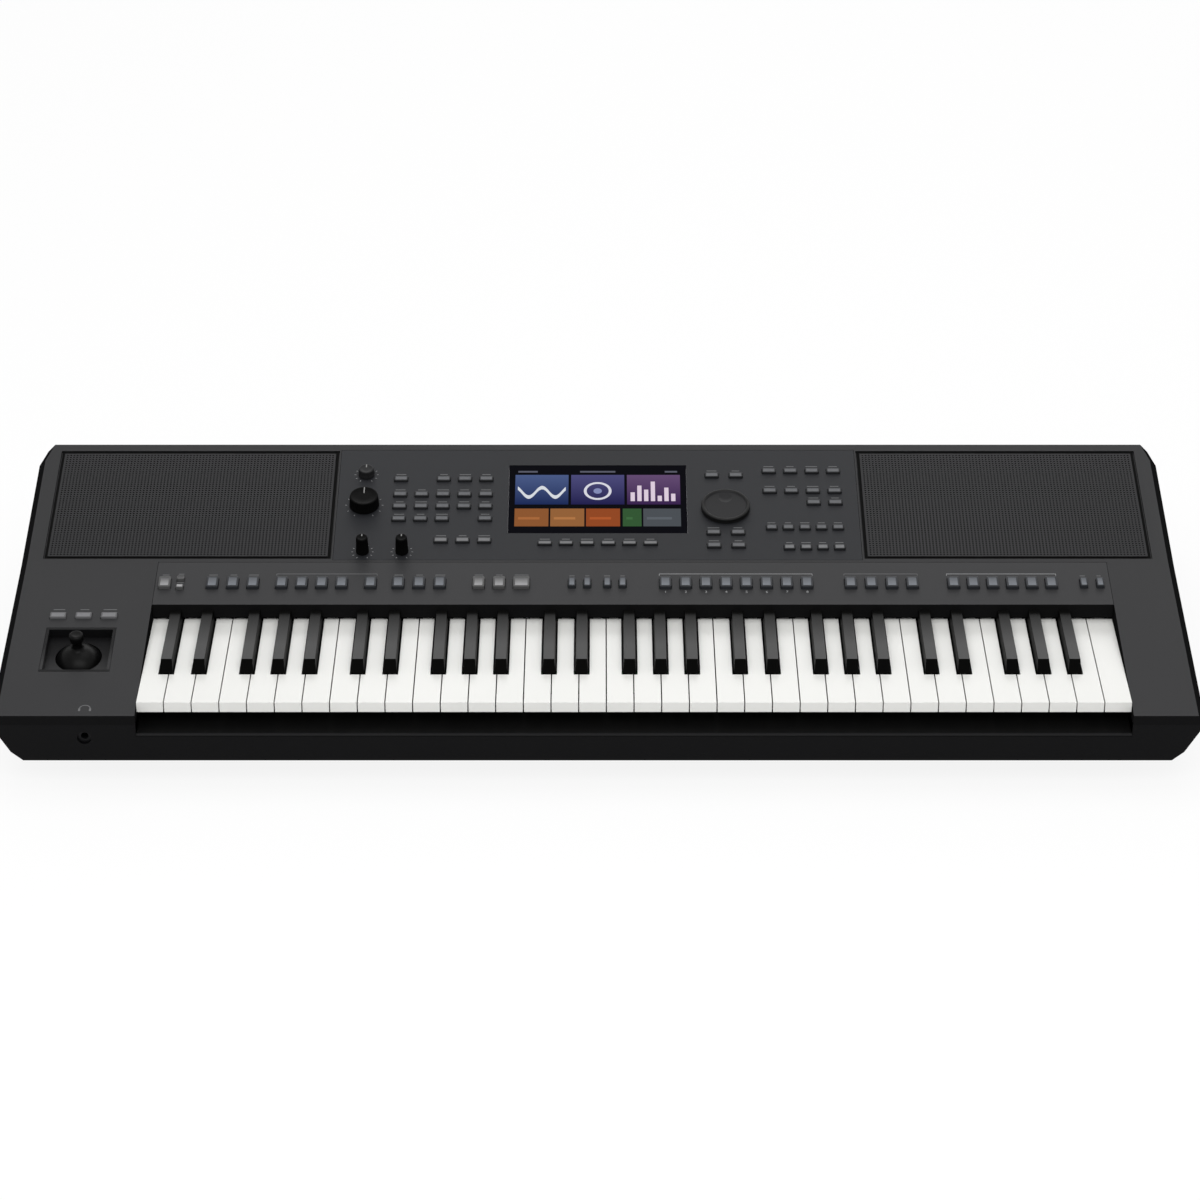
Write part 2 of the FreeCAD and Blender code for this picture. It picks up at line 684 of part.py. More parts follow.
# Button strip: a sloped plate with a skirt that ends above the keys
strip_end = f"({crease_y} - Sizes.seam)"
strip_bar = prism("strip_bar", outline("strip_line", (
    (key_back, deck(key_back)), (key_back, "Sizes.white_top + Sizes.strip_skirt_gap"),
    (f"{key_back} + Sizes.strip_thick", "Sizes.white_top + Sizes.strip_skirt_gap"),
    (f"{key_back} + Sizes.strip_thick", f"{deck(key_back + ' + Sizes.strip_thick')} - {strip_under}"),
    (strip_end, f"{deck(strip_end)} - {strip_under}"), (strip_end, deck(strip_end)),
), "side", f"{key_left} + Sizes.seam"), f"{key_right} - {key_left} - 2 * Sizes.seam")

# Groups of buttons: place along X, place along the plane, cap width, cap length
strip_v = "Sizes.strip_row"
STRIP_CAP = ("Sizes.strip_cap_x", "Sizes.strip_cap_v")
NARROW_CAP = ("Sizes.narrow_cap_x", "Sizes.narrow_cap_v")
SMALL_CAP = ("Sizes.small_cap_x", "Sizes.small_cap_v")
GRID_CAP = ("Sizes.grid_cap_x", "Sizes.grid_cap_v")
SLIM_CAP = ("Sizes.slim_cap_x", "Sizes.grid_cap_v")
ASSIGN_CAP = ("Sizes.grid_cap_x", "Sizes.assign_cap_v")
BLOCK_CAP = ("Sizes.block_cap_x", "Sizes.block_cap_v")


def in_line(first, pitch, count, v, cap):
    return [(f"Sizes.{first} + {i} * Sizes.{pitch}", v, *cap) for i in range(count)]


def on_strip(first, pitch, count, cap):
    """Caps in the strip's row, counted from the left end of the keys."""
    return [(f"{key_left} + Sizes.{first} + {i} * Sizes.{pitch}", strip_v, *cap) for i in range(count)]


def in_grid(first, pitch, columns, v, cap):
    return [(f"Sizes.{first} + {i} * Sizes.{pitch}", v, *cap) for i in columns]


tap_place = f"{key_left} + Sizes.tap_x"
STRIP_GROUPS = {
    "tempo_buttons": [
        (f"{key_left} + Sizes.tempo_x", strip_v, *STRIP_CAP),
        (tap_place, f"{strip_v} + Sizes.tap_row_shift", *SMALL_CAP),
        (tap_place, f"{strip_v} - Sizes.tap_row_shift", *SMALL_CAP),
    ],
    "intro_buttons": on_strip("intro_x", "intro_pitch", 3, STRIP_CAP),
    "variation_buttons": on_strip("variation_x", "variation_pitch", 4, STRIP_CAP)
    + [(f"{key_left} + Sizes.break_x", strip_v, *STRIP_CAP)],
    "ending_buttons": on_strip("ending_x", "ending_pitch", 3, STRIP_CAP),
    "start_buttons": on_strip("start_x", "start_pitch", 2, STRIP_CAP)
    + [(f"{key_left} + Sizes.start_wide_x", strip_v, "Sizes.wide_cap_x", "Sizes.strip_cap_v")],
    "transpose_buttons": on_strip("transpose_x", "transpose_pitch", 2, NARROW_CAP)
    + on_strip("transpose_x + Sizes.transpose_step", "transpose_pitch", 2, NARROW_CAP),
    "registration_buttons": on_strip("register_x", "register_pitch", 8, STRIP_CAP),
    "one_touch_buttons": on_strip("touch_x", "touch_pitch", 4, STRIP_CAP),
    "part_buttons": on_strip("part_x", "part_pitch", 6, STRIP_CAP),
    "octave_buttons": on_strip("octave_x", "octave_pitch", 2, NARROW_CAP),
}
BLOCK_GROUPS = {"mod_buttons": [(x, v, *BLOCK_CAP) for x, v in block_spots]}
PANEL_GROUPS = {
    "style_buttons": in_grid("left_first", "left_pitch", (0, 2, 3, 4), "Sizes.left_row_1", GRID_CAP)
    + in_grid("left_first", "left_pitch", range(5), "Sizes.left_row_2", GRID_CAP)
    + in_grid("left_first", "left_pitch", range(5), "Sizes.left_row_3", GRID_CAP),
    "song_buttons": in_grid("left_first", "left_pitch", (0, 1, 2, 4), "Sizes.left_row_4", GRID_CAP)
    + in_grid("left_first", "left_pitch", (2, 3, 4), "Sizes.left_row_5", GRID_CAP),
    "assign_buttons": in_line("assign_first", "assign_pitch", 6, "Sizes.assign_row", ASSIGN_CAP),
    "menu_buttons": in_line("menu_first", "menu_pitch", 2, "Sizes.menu_row_1", GRID_CAP)
    + in_line("menu_first", "menu_pitch", 2, "Sizes.menu_row_2", GRID_CAP)
    + in_line("menu_first", "menu_pitch", 2, "Sizes.menu_row_3", GRID_CAP),
    "voice_buttons": in_line("right_first", "right_pitch", 4, "Sizes.right_row_1", GRID_CAP)
    + in_line("right_first", "right_pitch", 4, "Sizes.right_row_2", GRID_CAP)
    + in_grid("right_first", "right_pitch", (2, 3), "Sizes.right_row_3", GRID_CAP),
    "tone_buttons": in_line("right_first", "right_slim_pitch", 5, "Sizes.right_row_4", SLIM_CAP)
    + in_grid("right_first", "right_slim_pitch", (1, 2, 3, 4), "Sizes.right_row_5", SLIM_CAP),
}


def make_buttons(label, spots, frame, plate, rise):
    """Caps that pass through the plate, each with a flange below that keeps it in."""
    pieces = []
    flange_top = f"(-({plate}) - Sizes.cap_clear)"
    cap_foot = f"({flange_top} - Sizes.flange_thick)"
    for i, (x, v, cap_x, cap_v) in enumerate(spots):
        flange_x = f"({cap_x} + 2 * Sizes.flange_side)"
        flange_v = f"({cap_v} + 2 * Sizes.flange_side)"
        pieces.append(box(f"{label}_cap_{i}", (cap_x, cap_v, f"{rise} - {cap_foot}"),
                          (f"{x} - {cap_x} / 2", f"{v} - {cap_v} / 2", cap_foot)))
        pieces.append(box(f"{label}_flange_{i}", (flange_x, flange_v, "Sizes.flange_thick"),
                          (f"{x} - {flange_x} / 2", f"{v} - {flange_v} / 2", cap_foot)))
    item = fuse(label, pieces)
    tilt(item, frame)
    return item


def make_switches(label, spots, plate):
    """One switch under each cap, standing on the board."""
    top = f"(-({plate}) - 2 * Sizes.cap_clear - Sizes.flange_thick - Sizes.cap_travel)"
    pieces = []
    for i, (x, v, cap_x, cap_v) in enumerate(spots):
        sides = ("Sizes.switch_side", "Sizes.switch_side", f"{top} + Sizes.board_drop")
        corner = (f"{x} - Sizes.switch_side / 2", f"{v} - Sizes.switch_side / 2", "-Sizes.board_drop")
        pieces.append(box(f"{label}_{i}", sides, corner))
    return pieces


strip_spots = []
for label, spots in STRIP_GROUPS.items():
    make_buttons(label, spots, "strip", "Sizes.strip_thick", "Sizes.strip_cap_rise")
    strip_spots += spots
for label, spots in BLOCK_GROUPS.items():
    make_buttons(label, spots, "strip", "Sizes.wall", "Sizes.cap_rise")
panel_spots = []
for label, spots in PANEL_GROUPS.items():
    make_buttons(label, spots, "panel", "Sizes.panel_thick", "Sizes.cap_rise")
    panel_spots += spots

strip_holes = group("strip_holes", [
    button_hole(f"strip_hole_{i}", *spot) for i, spot in enumerate(strip_spots)
])
tilt(strip_holes, "strip")
cut("strip_panel", strip_bar, strip_holes)

# Control panel plate with holes for the caps, the knob shafts and the display
KNOBS = {
    "volume_knob": ("Sizes.volume_x", "Sizes.volume_v"),
    "gain_knob": ("Sizes.gain_x", "Sizes.gain_v"),
    "live_knob_left": ("Sizes.live_left_x", "Sizes.live_v"),
    "live_knob_right": ("Sizes.live_right_x", "Sizes.live_v"),
    "data_dial": ("Sizes.dial_x", "Sizes.dial_v"),
}
panel_tools = [button_hole(f"panel_hole_{i}", *spot) for i, spot in enumerate(panel_spots)]
panel_tools.append(box("glass_hole", (
    "Sizes.glass_width + 2 * Sizes.seam", "Sizes.glass_height + 2 * Sizes.seam", f"2 * {over}"),
    ("-Sizes.glass_width / 2 - Sizes.seam",
     "Sizes.glass_middle - Sizes.glass_height / 2 - Sizes.seam", f"-{over}")))
for label, (x, v) in KNOBS.items():
    panel_tools.append(cylinder(f"{label}_hole", "Sizes.shaft_radius + Sizes.shaft_hole_gap",
                                f"2 * {over}", (x, v, f"-{over}")))
panel_plate = cut("panel_flat", box("panel_sheet", (
    "2 * Sizes.panel_half", panel_run_v, "Sizes.panel_thick"),
    ("-Sizes.panel_half", "Sizes.panel_near", "-Sizes.panel_thick")), group("panel_tools", panel_tools))
control_panel = group("control_panel", [panel_plate])
tilt(control_panel, "panel")

# Display: a glass set flush in the panel and the module behind it
glass_low = "(Sizes.glass_middle - Sizes.glass_height / 2)"
display_glass = group("display_glass", [box("glass_pane", (
    "Sizes.glass_width", "Sizes.glass_height", "Sizes.glass_thick"),
    ("-Sizes.glass_width / 2", glass_low, "-Sizes.panel_thick"))])
tilt(display_glass, "panel")
display_module = group("display_module", [box("module_block", (
    "Sizes.glass_width + 2 * Sizes.module_rim", "Sizes.glass_height + 2 * Sizes.module_rim",
    "Sizes.module_thick"),
    ("-Sizes.glass_width / 2 - Sizes.module_rim", f"{glass_low} - Sizes.module_rim",
     "-Sizes.panel_thick - Sizes.module_thick"))])
tilt(display_module, "panel")

# Speaker grilles in their seats, and the drivers under the deck
for label, start in (("grille_left", "-Sizes.grille_outer"), ("grille_right", "Sizes.grille_inner")):
    sheet_box = box(f"{label}_sheet", (
        "Sizes.grille_outer - Sizes.grille_inner", "Sizes.grille_far - Sizes.grille_near",
        "Sizes.grille_thick"), (start, "Sizes.grille_near", "-Sizes.grille_recess"))
    tilt(group(label, [sheet_box]), "panel")
rim_low = "(-Sizes.wall - Sizes.woofer_rim_thick)"
cone_low = f"({rim_low} - Sizes.woofer_depth)"
magnet_low = f"({cone_low} - Sizes.woofer_magnet_thick)"
drivers = []
for label, side in (("driver_left", "-"), ("driver_right", "")):
    driver = turned(label, (
        ("0", f"{rim_low} - Sizes.woofer_depth / 2"),
        ("Sizes.woofer_neck / 2", f"{rim_low} - Sizes.woofer_depth / 2"),
        ("Sizes.woofer_hole - Sizes.woofer_rim_thick", "-Sizes.wall"), ("Sizes.woofer_rim", "-Sizes.wall"),
        ("Sizes.woofer_rim", rim_low), ("Sizes.woofer_hole", rim_low), ("Sizes.woofer_neck", cone_low),
        ("Sizes.woofer_magnet", cone_low), ("Sizes.woofer_magnet", magnet_low), ("0", magnet_low),
    ))
    tilt(driver, "panel", f"{side}Sizes.woofer_x", "Sizes.woofer_middle")
    drivers.append(driver)
group("woofers", drivers)

# Knobs with their shafts, and the dial
pot_top = "(Sizes.pot_height - Sizes.board_drop)"
shaft_foot = "(Sizes.shaft_rest - Sizes.board_drop)"
for label, radius, height in (
    ("volume_knob", "Sizes.volume_radius", "Sizes.volume_height"),
    ("gain_knob", "Sizes.gain_radius", "Sizes.gain_height"),
    ("live_knob_left", "Sizes.live_radius", "Sizes.live_height"),
    ("live_knob_right", "Sizes.live_radius", "Sizes.live_height"),
):
    top = f"(Sizes.knob_gap + {height})"
    knob = turned(label, (
        ("0", shaft_foot), ("Sizes.shaft_radius", shaft_foot), ("Sizes.shaft_radius", "Sizes.knob_gap"),
        (radius, "Sizes.knob_gap"), (f"{radius} - Sizes.knob_taper", f"{top} - Sizes.knob_edge"),
        (f"{radius} - Sizes.knob_taper - Sizes.knob_edge", top), ("0", top),
    ))
    tilt(knob, "panel", *KNOBS[label])
dial_top = "(Sizes.knob_gap + Sizes.dial_height)"
dial = turned("data_dial", (
    ("0", shaft_foot), ("Sizes.shaft_radius", shaft_foot), ("Sizes.shaft_radius", "Sizes.knob_gap"),
    ("Sizes.dial_radius", "Sizes.knob_gap"), ("Sizes.dial_radius", f"{dial_top} - Sizes.dial_edge"),
    ("Sizes.dial_radius - Sizes.dial_edge", dial_top),
    ("Sizes.dial_radius - 3 * Sizes.dial_edge", dial_top),
    ("Sizes.dial_radius - 4 * Sizes.dial_edge", f"{dial_top} - Sizes.dial_dish"),
    ("0", f"{dial_top} - Sizes.dial_dish"),
))
tilt(dial, "panel", *KNOBS["data_dial"])

# Boards under the panel, the strip and the block, with a switch below each cap
board_z = "(-Sizes.board_drop - Sizes.circuit_thick)"
board_edge = "(2 * Sizes.panel_lip)"
module_half = "(Sizes.glass_width / 2 + Sizes.module_rim + Sizes.seam)"
side_board = f"(Sizes.panel_half - {board_edge} - {module_half})"
board_run = f"({panel_run_v} - 2 * {board_edge})"
board_start = f"(Sizes.panel_near + {board_edge})"
panel_boards = [
    box("board_left", (side_board, board_run, "Sizes.circuit_thick"),
        (f"-Sizes.panel_half + {board_edge}", board_start, board_z)),
    box("board_right", (side_board, board_run, "Sizes.circuit_thick"), (module_half, board_start, board_z)),
    box("board_middle", (
        f"2 * {module_half}", f"{glass_low} - Sizes.module_rim - {board_start} - Sizes.seam",
        "Sizes.circuit_thick"), (f"-{module_half}", board_start, board_z)),
]
panel_boards += make_switches("panel_switch", panel_spots, "Sizes.panel_thick")
for label, (x, v) in KNOBS.items():
    body = box(f"{label}_pot_body", ("Sizes.pot_side", "Sizes.pot_side", "Sizes.pot_height"),
               (f"{x} - Sizes.pot_side / 2", f"{v} - Sizes.pot_side / 2", "-Sizes.board_drop"))
    bore = cylinder(f"{label}_pot_bore", "Sizes.shaft_radius + Sizes.shaft_gap", "Sizes.pot_height",
                    (x, v, f"{shaft_foot} - Sizes.shaft_gap"))
    panel_boards.append(cut(f"{label}_pot", body, bore))
stand_run = "(Sizes.board_drop - Sizes.panel_thick)"
stand_outer = f"(Sizes.panel_half - {board_edge} - Sizes.post_small)"
stand_inner = f"({module_half} + Sizes.post_small)"
stand_rows = (f"{board_start} + Sizes.post_small", f"{board_start} + {board_run} - Sizes.post_small")
for i, x in enumerate((f"-{stand_outer}", f"-{stand_inner}", stand_inner, stand_outer)):
    for j, v in enumerate(stand_rows):
        panel_boards.append(cylinder(f"panel_stand_{i}_{j}", "Sizes.post_small", stand_run,
                                     (x, v, "-Sizes.board_drop")))
panel_switches = group("panel_switch_board", panel_boards)
tilt(panel_switches, "panel")
strip_board_y = "(Sizes.front_gap + Sizes.white_visible + 3 * Sizes.strip_thick)"
strip_board_start = f"({strip_board_y} / cos(Sizes.strip_slope))"
strip_boards = [box("board_strip", (
    f"{key_right} - {key_left} - 4 * Sizes.wall",
    f"{crease_v} - {strip_board_start} - 2 * Sizes.strip_ledge",
    "Sizes.circuit_thick"), (f"{key_left} + 2 * Sizes.wall", strip_board_start, board_z))]
strip_boards += make_switches("strip_switch", strip_spots, "Sizes.strip_thick")
block_board_margin = "(Sizes.block_cap_x)"
strip_boards.append(box("board_block", (
    f"2 * Sizes.block_pitch + {block_board_margin}", "2 * Sizes.block_cap_v", "Sizes.circuit_thick"),
    (f"{block_middle} - {block_board_margin} / 2", "Sizes.block_row - Sizes.block_cap_v", board_z)))
strip_boards += make_switches("block_switch", BLOCK_GROUPS["mod_buttons"], "Sizes.wall")
strip_stand_v = f"({strip_board_start} + Sizes.post_small + Sizes.key_gap)"
STAND_SHARES = (0.03, 0.27, 0.5, 0.73, 0.97)
for i, share in enumerate(STAND_SHARES):
    strip_boards.append(cylinder(
        f"strip_stand_{i}", "Sizes.post_small", "Sizes.board_drop - Sizes.strip_thick",
        (f"{key_left} + {share} * ({key_right} - {key_left})", strip_stand_v, "-Sizes.board_drop")))
for i in range(2):
    strip_boards.append(cylinder(
        f"block_stand_{i}", "Sizes.switch_side / 2", f"Sizes.board_drop - {block_under}",
        (f"{block_middle} + ({i} + 1 / 2) * Sizes.block_pitch", "Sizes.block_row", "-Sizes.board_drop")))
strip_switches = group("strip_switch_board", strip_boards)
tilt(strip_switches, "strip")
group("switch_boards", [panel_switches, strip_switches])

# Joystick: a sunk surround with two ears, a gimbal ring and a domed lever
pivot_w = "(-Sizes.joy_pivot_drop)"
floor_w = "(-Sizes.joy_depth - Sizes.joy_floor)"
well_x = "(Sizes.joy_width - 2 * Sizes.joy_wall)"
well_v = "(Sizes.joy_length - 2 * Sizes.joy_wall)"
flange_x = "(Sizes.joy_width + 2 * Sizes.joy_flange)"
flange_v = "(Sizes.joy_length + 2 * Sizes.joy_flange)"
ring_in = "(Sizes.joy_dome + Sizes.ring_gap)"
ring_out = f"({ring_in} + Sizes.ring_thick)"
ear_v = f"({ring_out} + Sizes.ear_gap)"
ear_low = f"({pivot_w} - Sizes.ear_half)"
dome_sill = "(Sizes.joy_pivot_drop - Sizes.joy_depth - Sizes.joy_floor)"
dome_hole = f"(sqrt(Sizes.joy_dome ^ 2 - {dome_sill} ^ 2) + Sizes.joy_hole_gap)"
tray = fuse("joy_tray", [
    box("joy_tray_block", ("Sizes.joy_width", "Sizes.joy_length", "Sizes.joy_depth + Sizes.joy_floor"),
        ("-Sizes.joy_width / 2", "-Sizes.joy_length / 2", floor_w)),
    box("joy_tray_flange", (flange_x, flange_v, "Sizes.joy_flange_thick"),
        (f"-{flange_x} / 2", f"-{flange_v} / 2",
         f"-{block_under} - Sizes.joy_pin_gap - Sizes.joy_flange_thick")),
    box("joy_ear_front", ("2 * Sizes.ear_half", "Sizes.ear_thick", f"{floor_w} - {ear_low}"),
        ("-Sizes.ear_half", f"-{ear_v} - Sizes.ear_thick", ear_low)),
    box("joy_ear_back", ("2 * Sizes.ear_half", "Sizes.ear_thick", f"{floor_w} - {ear_low}"),
        ("-Sizes.ear_half", ear_v, ear_low)),
])
tray_well = cut("joy_tray_well", tray, box("joy_well", (well_x, well_v, "2 * Sizes.joy_depth"),
                                           (f"-{well_x} / 2", f"-{well_v} / 2", "-Sizes.joy_depth")))
tray_hole = cut("joy_tray_hole", tray_well, cylinder(
    "joy_dome_hole", dome_hole, "4 * Sizes.joy_floor", ("0", "0", f"{floor_w} - Sizes.joy_floor")))
ear_reach = f"({ear_v} + Sizes.ear_thick + Sizes.ear_gap)"
joystick_surround = cut("joystick_surround", tray_hole, cylinder(
    "joy_ear_bore", "Sizes.joy_pin + Sizes.joy_pin_gap", f"2 * {ear_reach}",
    ("0", f"-{ear_reach}", pivot_w), "y"))
tilt(joystick_surround, "strip", joy_middle, "Sizes.joy_v")

ring_blank = cylinder("ring_blank", ring_out, "2 * Sizes.ring_half",
                      ("0", "0", f"{pivot_w} - Sizes.ring_half"))
ring_pin = f"({ear_v} + Sizes.ear_thick - Sizes.ring_gap)"
ring_bar = cylinder("ring_bar", "Sizes.joy_pin", f"2 * {ring_pin}", ("0", f"-{ring_pin}", pivot_w), "y")
ring_solid = fuse("ring_solid", [ring_blank, ring_bar])
ring_open = cut("ring_open", ring_solid, cylinder(
    "ring_room", ring_in, "4 * Sizes.ring_half", ("0", "0", f"{pivot_w} - 2 * Sizes.ring_half")))
joystick_gimbal = cut("joystick_gimbal", ring_open, cylinder(
    "ring_bore", "Sizes.joy_pin + Sizes.joy_pin_gap", f"2 * {ring_out} + Sizes.ring_thick",
    (f"-{ring_out} - Sizes.ring_thick / 2", "0", pivot_w), "x"))
tilt(joystick_gimbal, "strip", joy_middle, "Sizes.joy_v")

lever_pin = f"({ring_out} - Sizes.ring_gap / 2)"
dome_in = "(Sizes.joy_dome - Sizes.joy_shell)"
dome_top = f"({pivot_w} + Sizes.joy_dome)"
stick_shoulder = "(Sizes.stick_top - Sizes.stick_cap_height)"
dome = doc.addObject("Part::Sphere", "joy_dome_ball")
bind(dome, Radius="Sizes.joy_dome")
dome.Angle1 = 0
seat(dome, "0", "0", pivot_w)
dome_room = doc.addObject("Part::Sphere", "joy_dome_room")
bind(dome_room, Radius=dome_in)
seat(dome_room, "0", "0", pivot_w)
dome_shell = cut("joy_dome_shell", dome, dome_room)
stick = cylinder("joy_stick", "Sizes.stick_radius", f"{stick_shoulder} + Sizes.joy_shell - {dome_top}",
                 ("0", "0", f"{dome_top} - Sizes.joy_shell"))
stick_cap = cylinder("joy_stick_cap", "Sizes.stick_cap_radius", "Sizes.stick_cap_height",
                     ("0", "0", stick_shoulder))
lever_bar = cylinder("joy_lever_bar", "Sizes.joy_pin", f"2 * {lever_pin}",
                     (f"-{lever_pin}", "0", pivot_w), "x")
joystick_lever = fuse("joystick_lever", [dome_shell, stick, stick_cap, lever_bar])
tilt(joystick_lever, "strip", joy_middle, "Sizes.joy_v")

# Keys. In each octave three white stems share the room of C to E, four that of F to B.
three_stem = "((3 * Sizes.white_pitch - 2 * Sizes.black_slot) / 3)"
four_stem = "((4 * Sizes.white_pitch - 3 * Sizes.black_slot) / 4)"
NOTES = {
    "c": (0, 3, 0), "d": (0, 3, 1), "e": (0, 3, 2),
    "f": (3, 4, 0), "g": (3, 4, 1), "a": (3, 4, 2), "b": (3, 4, 3),
}
SHARPS = {
    "c_sharp": (0, 3, 0), "d_sharp": (0, 3, 1),
    "f_sharp": (3, 4, 0), "g_sharp": (3, 4, 1), "a_sharp": (3, 4, 2),
}
rod_hole = cylinder("rod_hole", "Sizes.rod_radius + Sizes.rod_gap", f"{key_right} - {key_left}",
                    (key_left, pivot_y, pivot_z), "x")
tail_start = f"({key_back} + Sizes.strip_thick)"
tail_end = f"({pivot_y} + Sizes.eye_back)"


def white_key(label, octave, note):
    first, count, place = NOTES[note]
    white = 7 * octave + first + place
    stem = three_stem if count == 3 else four_stem
    start = f"({key_left} + {7 * octave + first} * Sizes.white_pitch)"
    head_x = f"({key_left} + {white} * Sizes.white_pitch + Sizes.key_gap / 2)"
    stem_x = f"({start} + {place} * ({stem} + Sizes.black_slot))"
    trim_left = "Sizes.key_gap / 2" if place == 0 else "0"
    trim_right = "Sizes.key_gap / 2" if place == count - 1 else "0"
    stem_wide = f"({stem} - {trim_left} - {trim_right})"
    stem_left = f"({stem_x} + {trim_left})"
    if white == WHITES - 1:
        stem_wide = "(Sizes.white_pitch - Sizes.key_gap)"
        stem_left = head_x
    return key_blocks(label, head_x, "(Sizes.white_pitch - Sizes.key_gap)", stem_left, stem_wide)


def key_blocks(label, head_x, head_wide, stem_x, stem_wide):
    eye_x = f"({stem_x} + ({stem_wide} - Sizes.eye_width) / 2)"
    return [
        box(f"{label}_head", (head_wide, "Sizes.head_length", "Sizes.white_thick"),
            (head_x, key_front, key_under)),
        box(f"{label}_stem", (stem_wide, "Sizes.white_visible - Sizes.head_length + Sizes.strip_thick",
                              "Sizes.white_thick"),
            (stem_x, f"{key_front} + Sizes.head_length", key_under)),
        box(f"{label}_tail", ("Sizes.eye_width", f"{tail_end} - {tail_start}", "Sizes.white_thick"),
            (eye_x, tail_start, key_under)),
    ]


def black_key(label, octave, note):
    first, count, place = SHARPS[note]
    stem = three_stem if count == 3 else four_stem
    start = f"({key_left} + {7 * octave + first} * Sizes.white_pitch)"
    middle = f"({start} + {place + 1} * {stem} + {place} * Sizes.black_slot + Sizes.black_slot / 2)"
    base_y = f"({key_front} + Sizes.head_length + Sizes.key_gap)"
    end_y = f"({key_back} - Sizes.key_gap)"
    crown = doc.addObject("Part::Wedge", f"{label}_crown")
    turn = FreeCAD.Rotation(FreeCAD.Vector(1, 1, 1), 120)
    crown.Placement = FreeCAD.Placement(FreeCAD.Vector(0, 0, 0), turn)
    bind(crown, Xmin="0", Xmax=f"{end_y} - {base_y}", Ymin="0", Ymax="Sizes.black_height",
         Zmin="-Sizes.black_width / 2", Zmax="Sizes.black_width / 2",
         X2min="Sizes.black_front_lean", X2max=f"{end_y} - {base_y}",
         Z2min="-Sizes.black_crown / 2", Z2max="Sizes.black_crown / 2")
    seat(crown, middle, base_y, "Sizes.white_top")
    return [
        crown,
        box(f"{label}_body", ("Sizes.black_width", f"{end_y} - {base_y}", "Sizes.white_thick"),
            (f"{middle} - Sizes.black_width / 2", base_y, key_under)),
        box(f"{label}_tail", ("Sizes.eye_width", f"{tail_end} - {end_y}", "Sizes.white_thick"),
            (f"{middle} - Sizes.eye_width / 2", end_y, key_under)),
    ]


for octave in range(OCTAVES):
    near = []
    for note in "cegb":
        near += white_key(f"key_{octave}_{note}", octave, note)
    if octave == OCTAVES - 1:
        near += white_key(f"key_{octave + 1}_c", octave + 1, "c")
    far = []
    for note in "dfa":
        far += white_key(f"key_{octave}_{note}", octave, note)
    dark = []
    for note in SHARPS:
        dark += black_key(f"key_{octave}_{note}", octave, note)
    for label, pieces in (
        (f"octave_{octave + 1}_keys_c_e_g_b", near), (f"octave_{octave + 1}_keys_d_f_a", far),
        (f"octave_{octave + 1}_black_keys", dark),
    ):
        cut(label, fuse(f"{label}_solid", pieces), rod_hole)

# Key chassis: a folded sheet with ribs that carry the pivot rod, rails for the contact board
frame_x = f"({key_left} + Sizes.seam)"
frame_wide = f"({key_right} - {key_left} - 2 * Sizes.seam)"
frame_y = f"({key_front} + Sizes.frame_front)"
frame_end = f"({pivot_y} + Sizes.rib_half)"
frame_low = "(Sizes.frame_top - Sizes.frame_sheet)"
dome_y = f"({key_front} + Sizes.dome_back)"
dome_arm = f"({pivot_y} - {dome_y})"
dome_tip = f"({key_under} - {dome_arm} * sin(Sizes.black_swing) - Sizes.stop_gap)"
contact_z = f"({dome_tip} - Sizes.dome_height - Sizes.circuit_thick)"
contact_y = f"({dome_y} - Sizes.contact_depth / 2)"
frame_pieces = [
    box("frame_plate", (frame_wide, f"{frame_end} - {frame_y}", "Sizes.frame_sheet"),
        (frame_x, frame_y, frame_low)),
    box("frame_leg_front", (frame_wide, "Sizes.frame_sheet", f"{frame_low} - {floor_z}"),
        (frame_x, f"{frame_y} + Sizes.frame_sheet", floor_z)),
    box("frame_leg_back", (frame_wide, "Sizes.frame_sheet", f"{frame_low} - {floor_z}"),
        (frame_x, f"{frame_end} - 2 * Sizes.frame_sheet", floor_z)),
    box("contact_rail_front", (frame_wide, "Sizes.frame_sheet", f"{contact_z} - Sizes.frame_top"),
        (frame_x, f"{contact_y} + Sizes.frame_sheet", "Sizes.frame_top")),
    box("contact_rail_back", (frame_wide, "Sizes.frame_sheet", f"{contact_z} - Sizes.frame_top"),
        (frame_x, f"{contact_y} + Sizes.contact_depth - 2 * Sizes.frame_sheet", "Sizes.frame_top")),
]
rib_top = f"({pivot_z} + Sizes.rib_over)"
rib_spots = [frame_x]
for octave in range(1, OCTAVES + 1):
    rib_spots.append(f"({key_left} + {7 * octave} * Sizes.white_pitch - Sizes.rib_thick / 2)")
rib_spots.append(f"({key_right} - Sizes.seam - Sizes.rib_thick)")
for i, x in enumerate(rib_spots):
    rib_sizes = ("Sizes.rib_thick", "2 * Sizes.rib_half", f"{rib_top} - Sizes.frame_top")
    rib_corner = (x, f"{pivot_y} - Sizes.rib_half", "Sizes.frame_top")
    frame_pieces.append(box(f"frame_rib_{i}", rib_sizes, rib_corner))
cut("key_frame", fuse("frame_solid", frame_pieces), rod_hole)
cylinder("key_pivot_rod", "Sizes.rod_radius", frame_wide, (frame_x, pivot_y, pivot_z), "x")
group("contact_board", [box("contact_sheet", (frame_wide, "Sizes.contact_depth", "Sizes.circuit_thick"),
                            (frame_x, contact_y, contact_z))])
domes = []
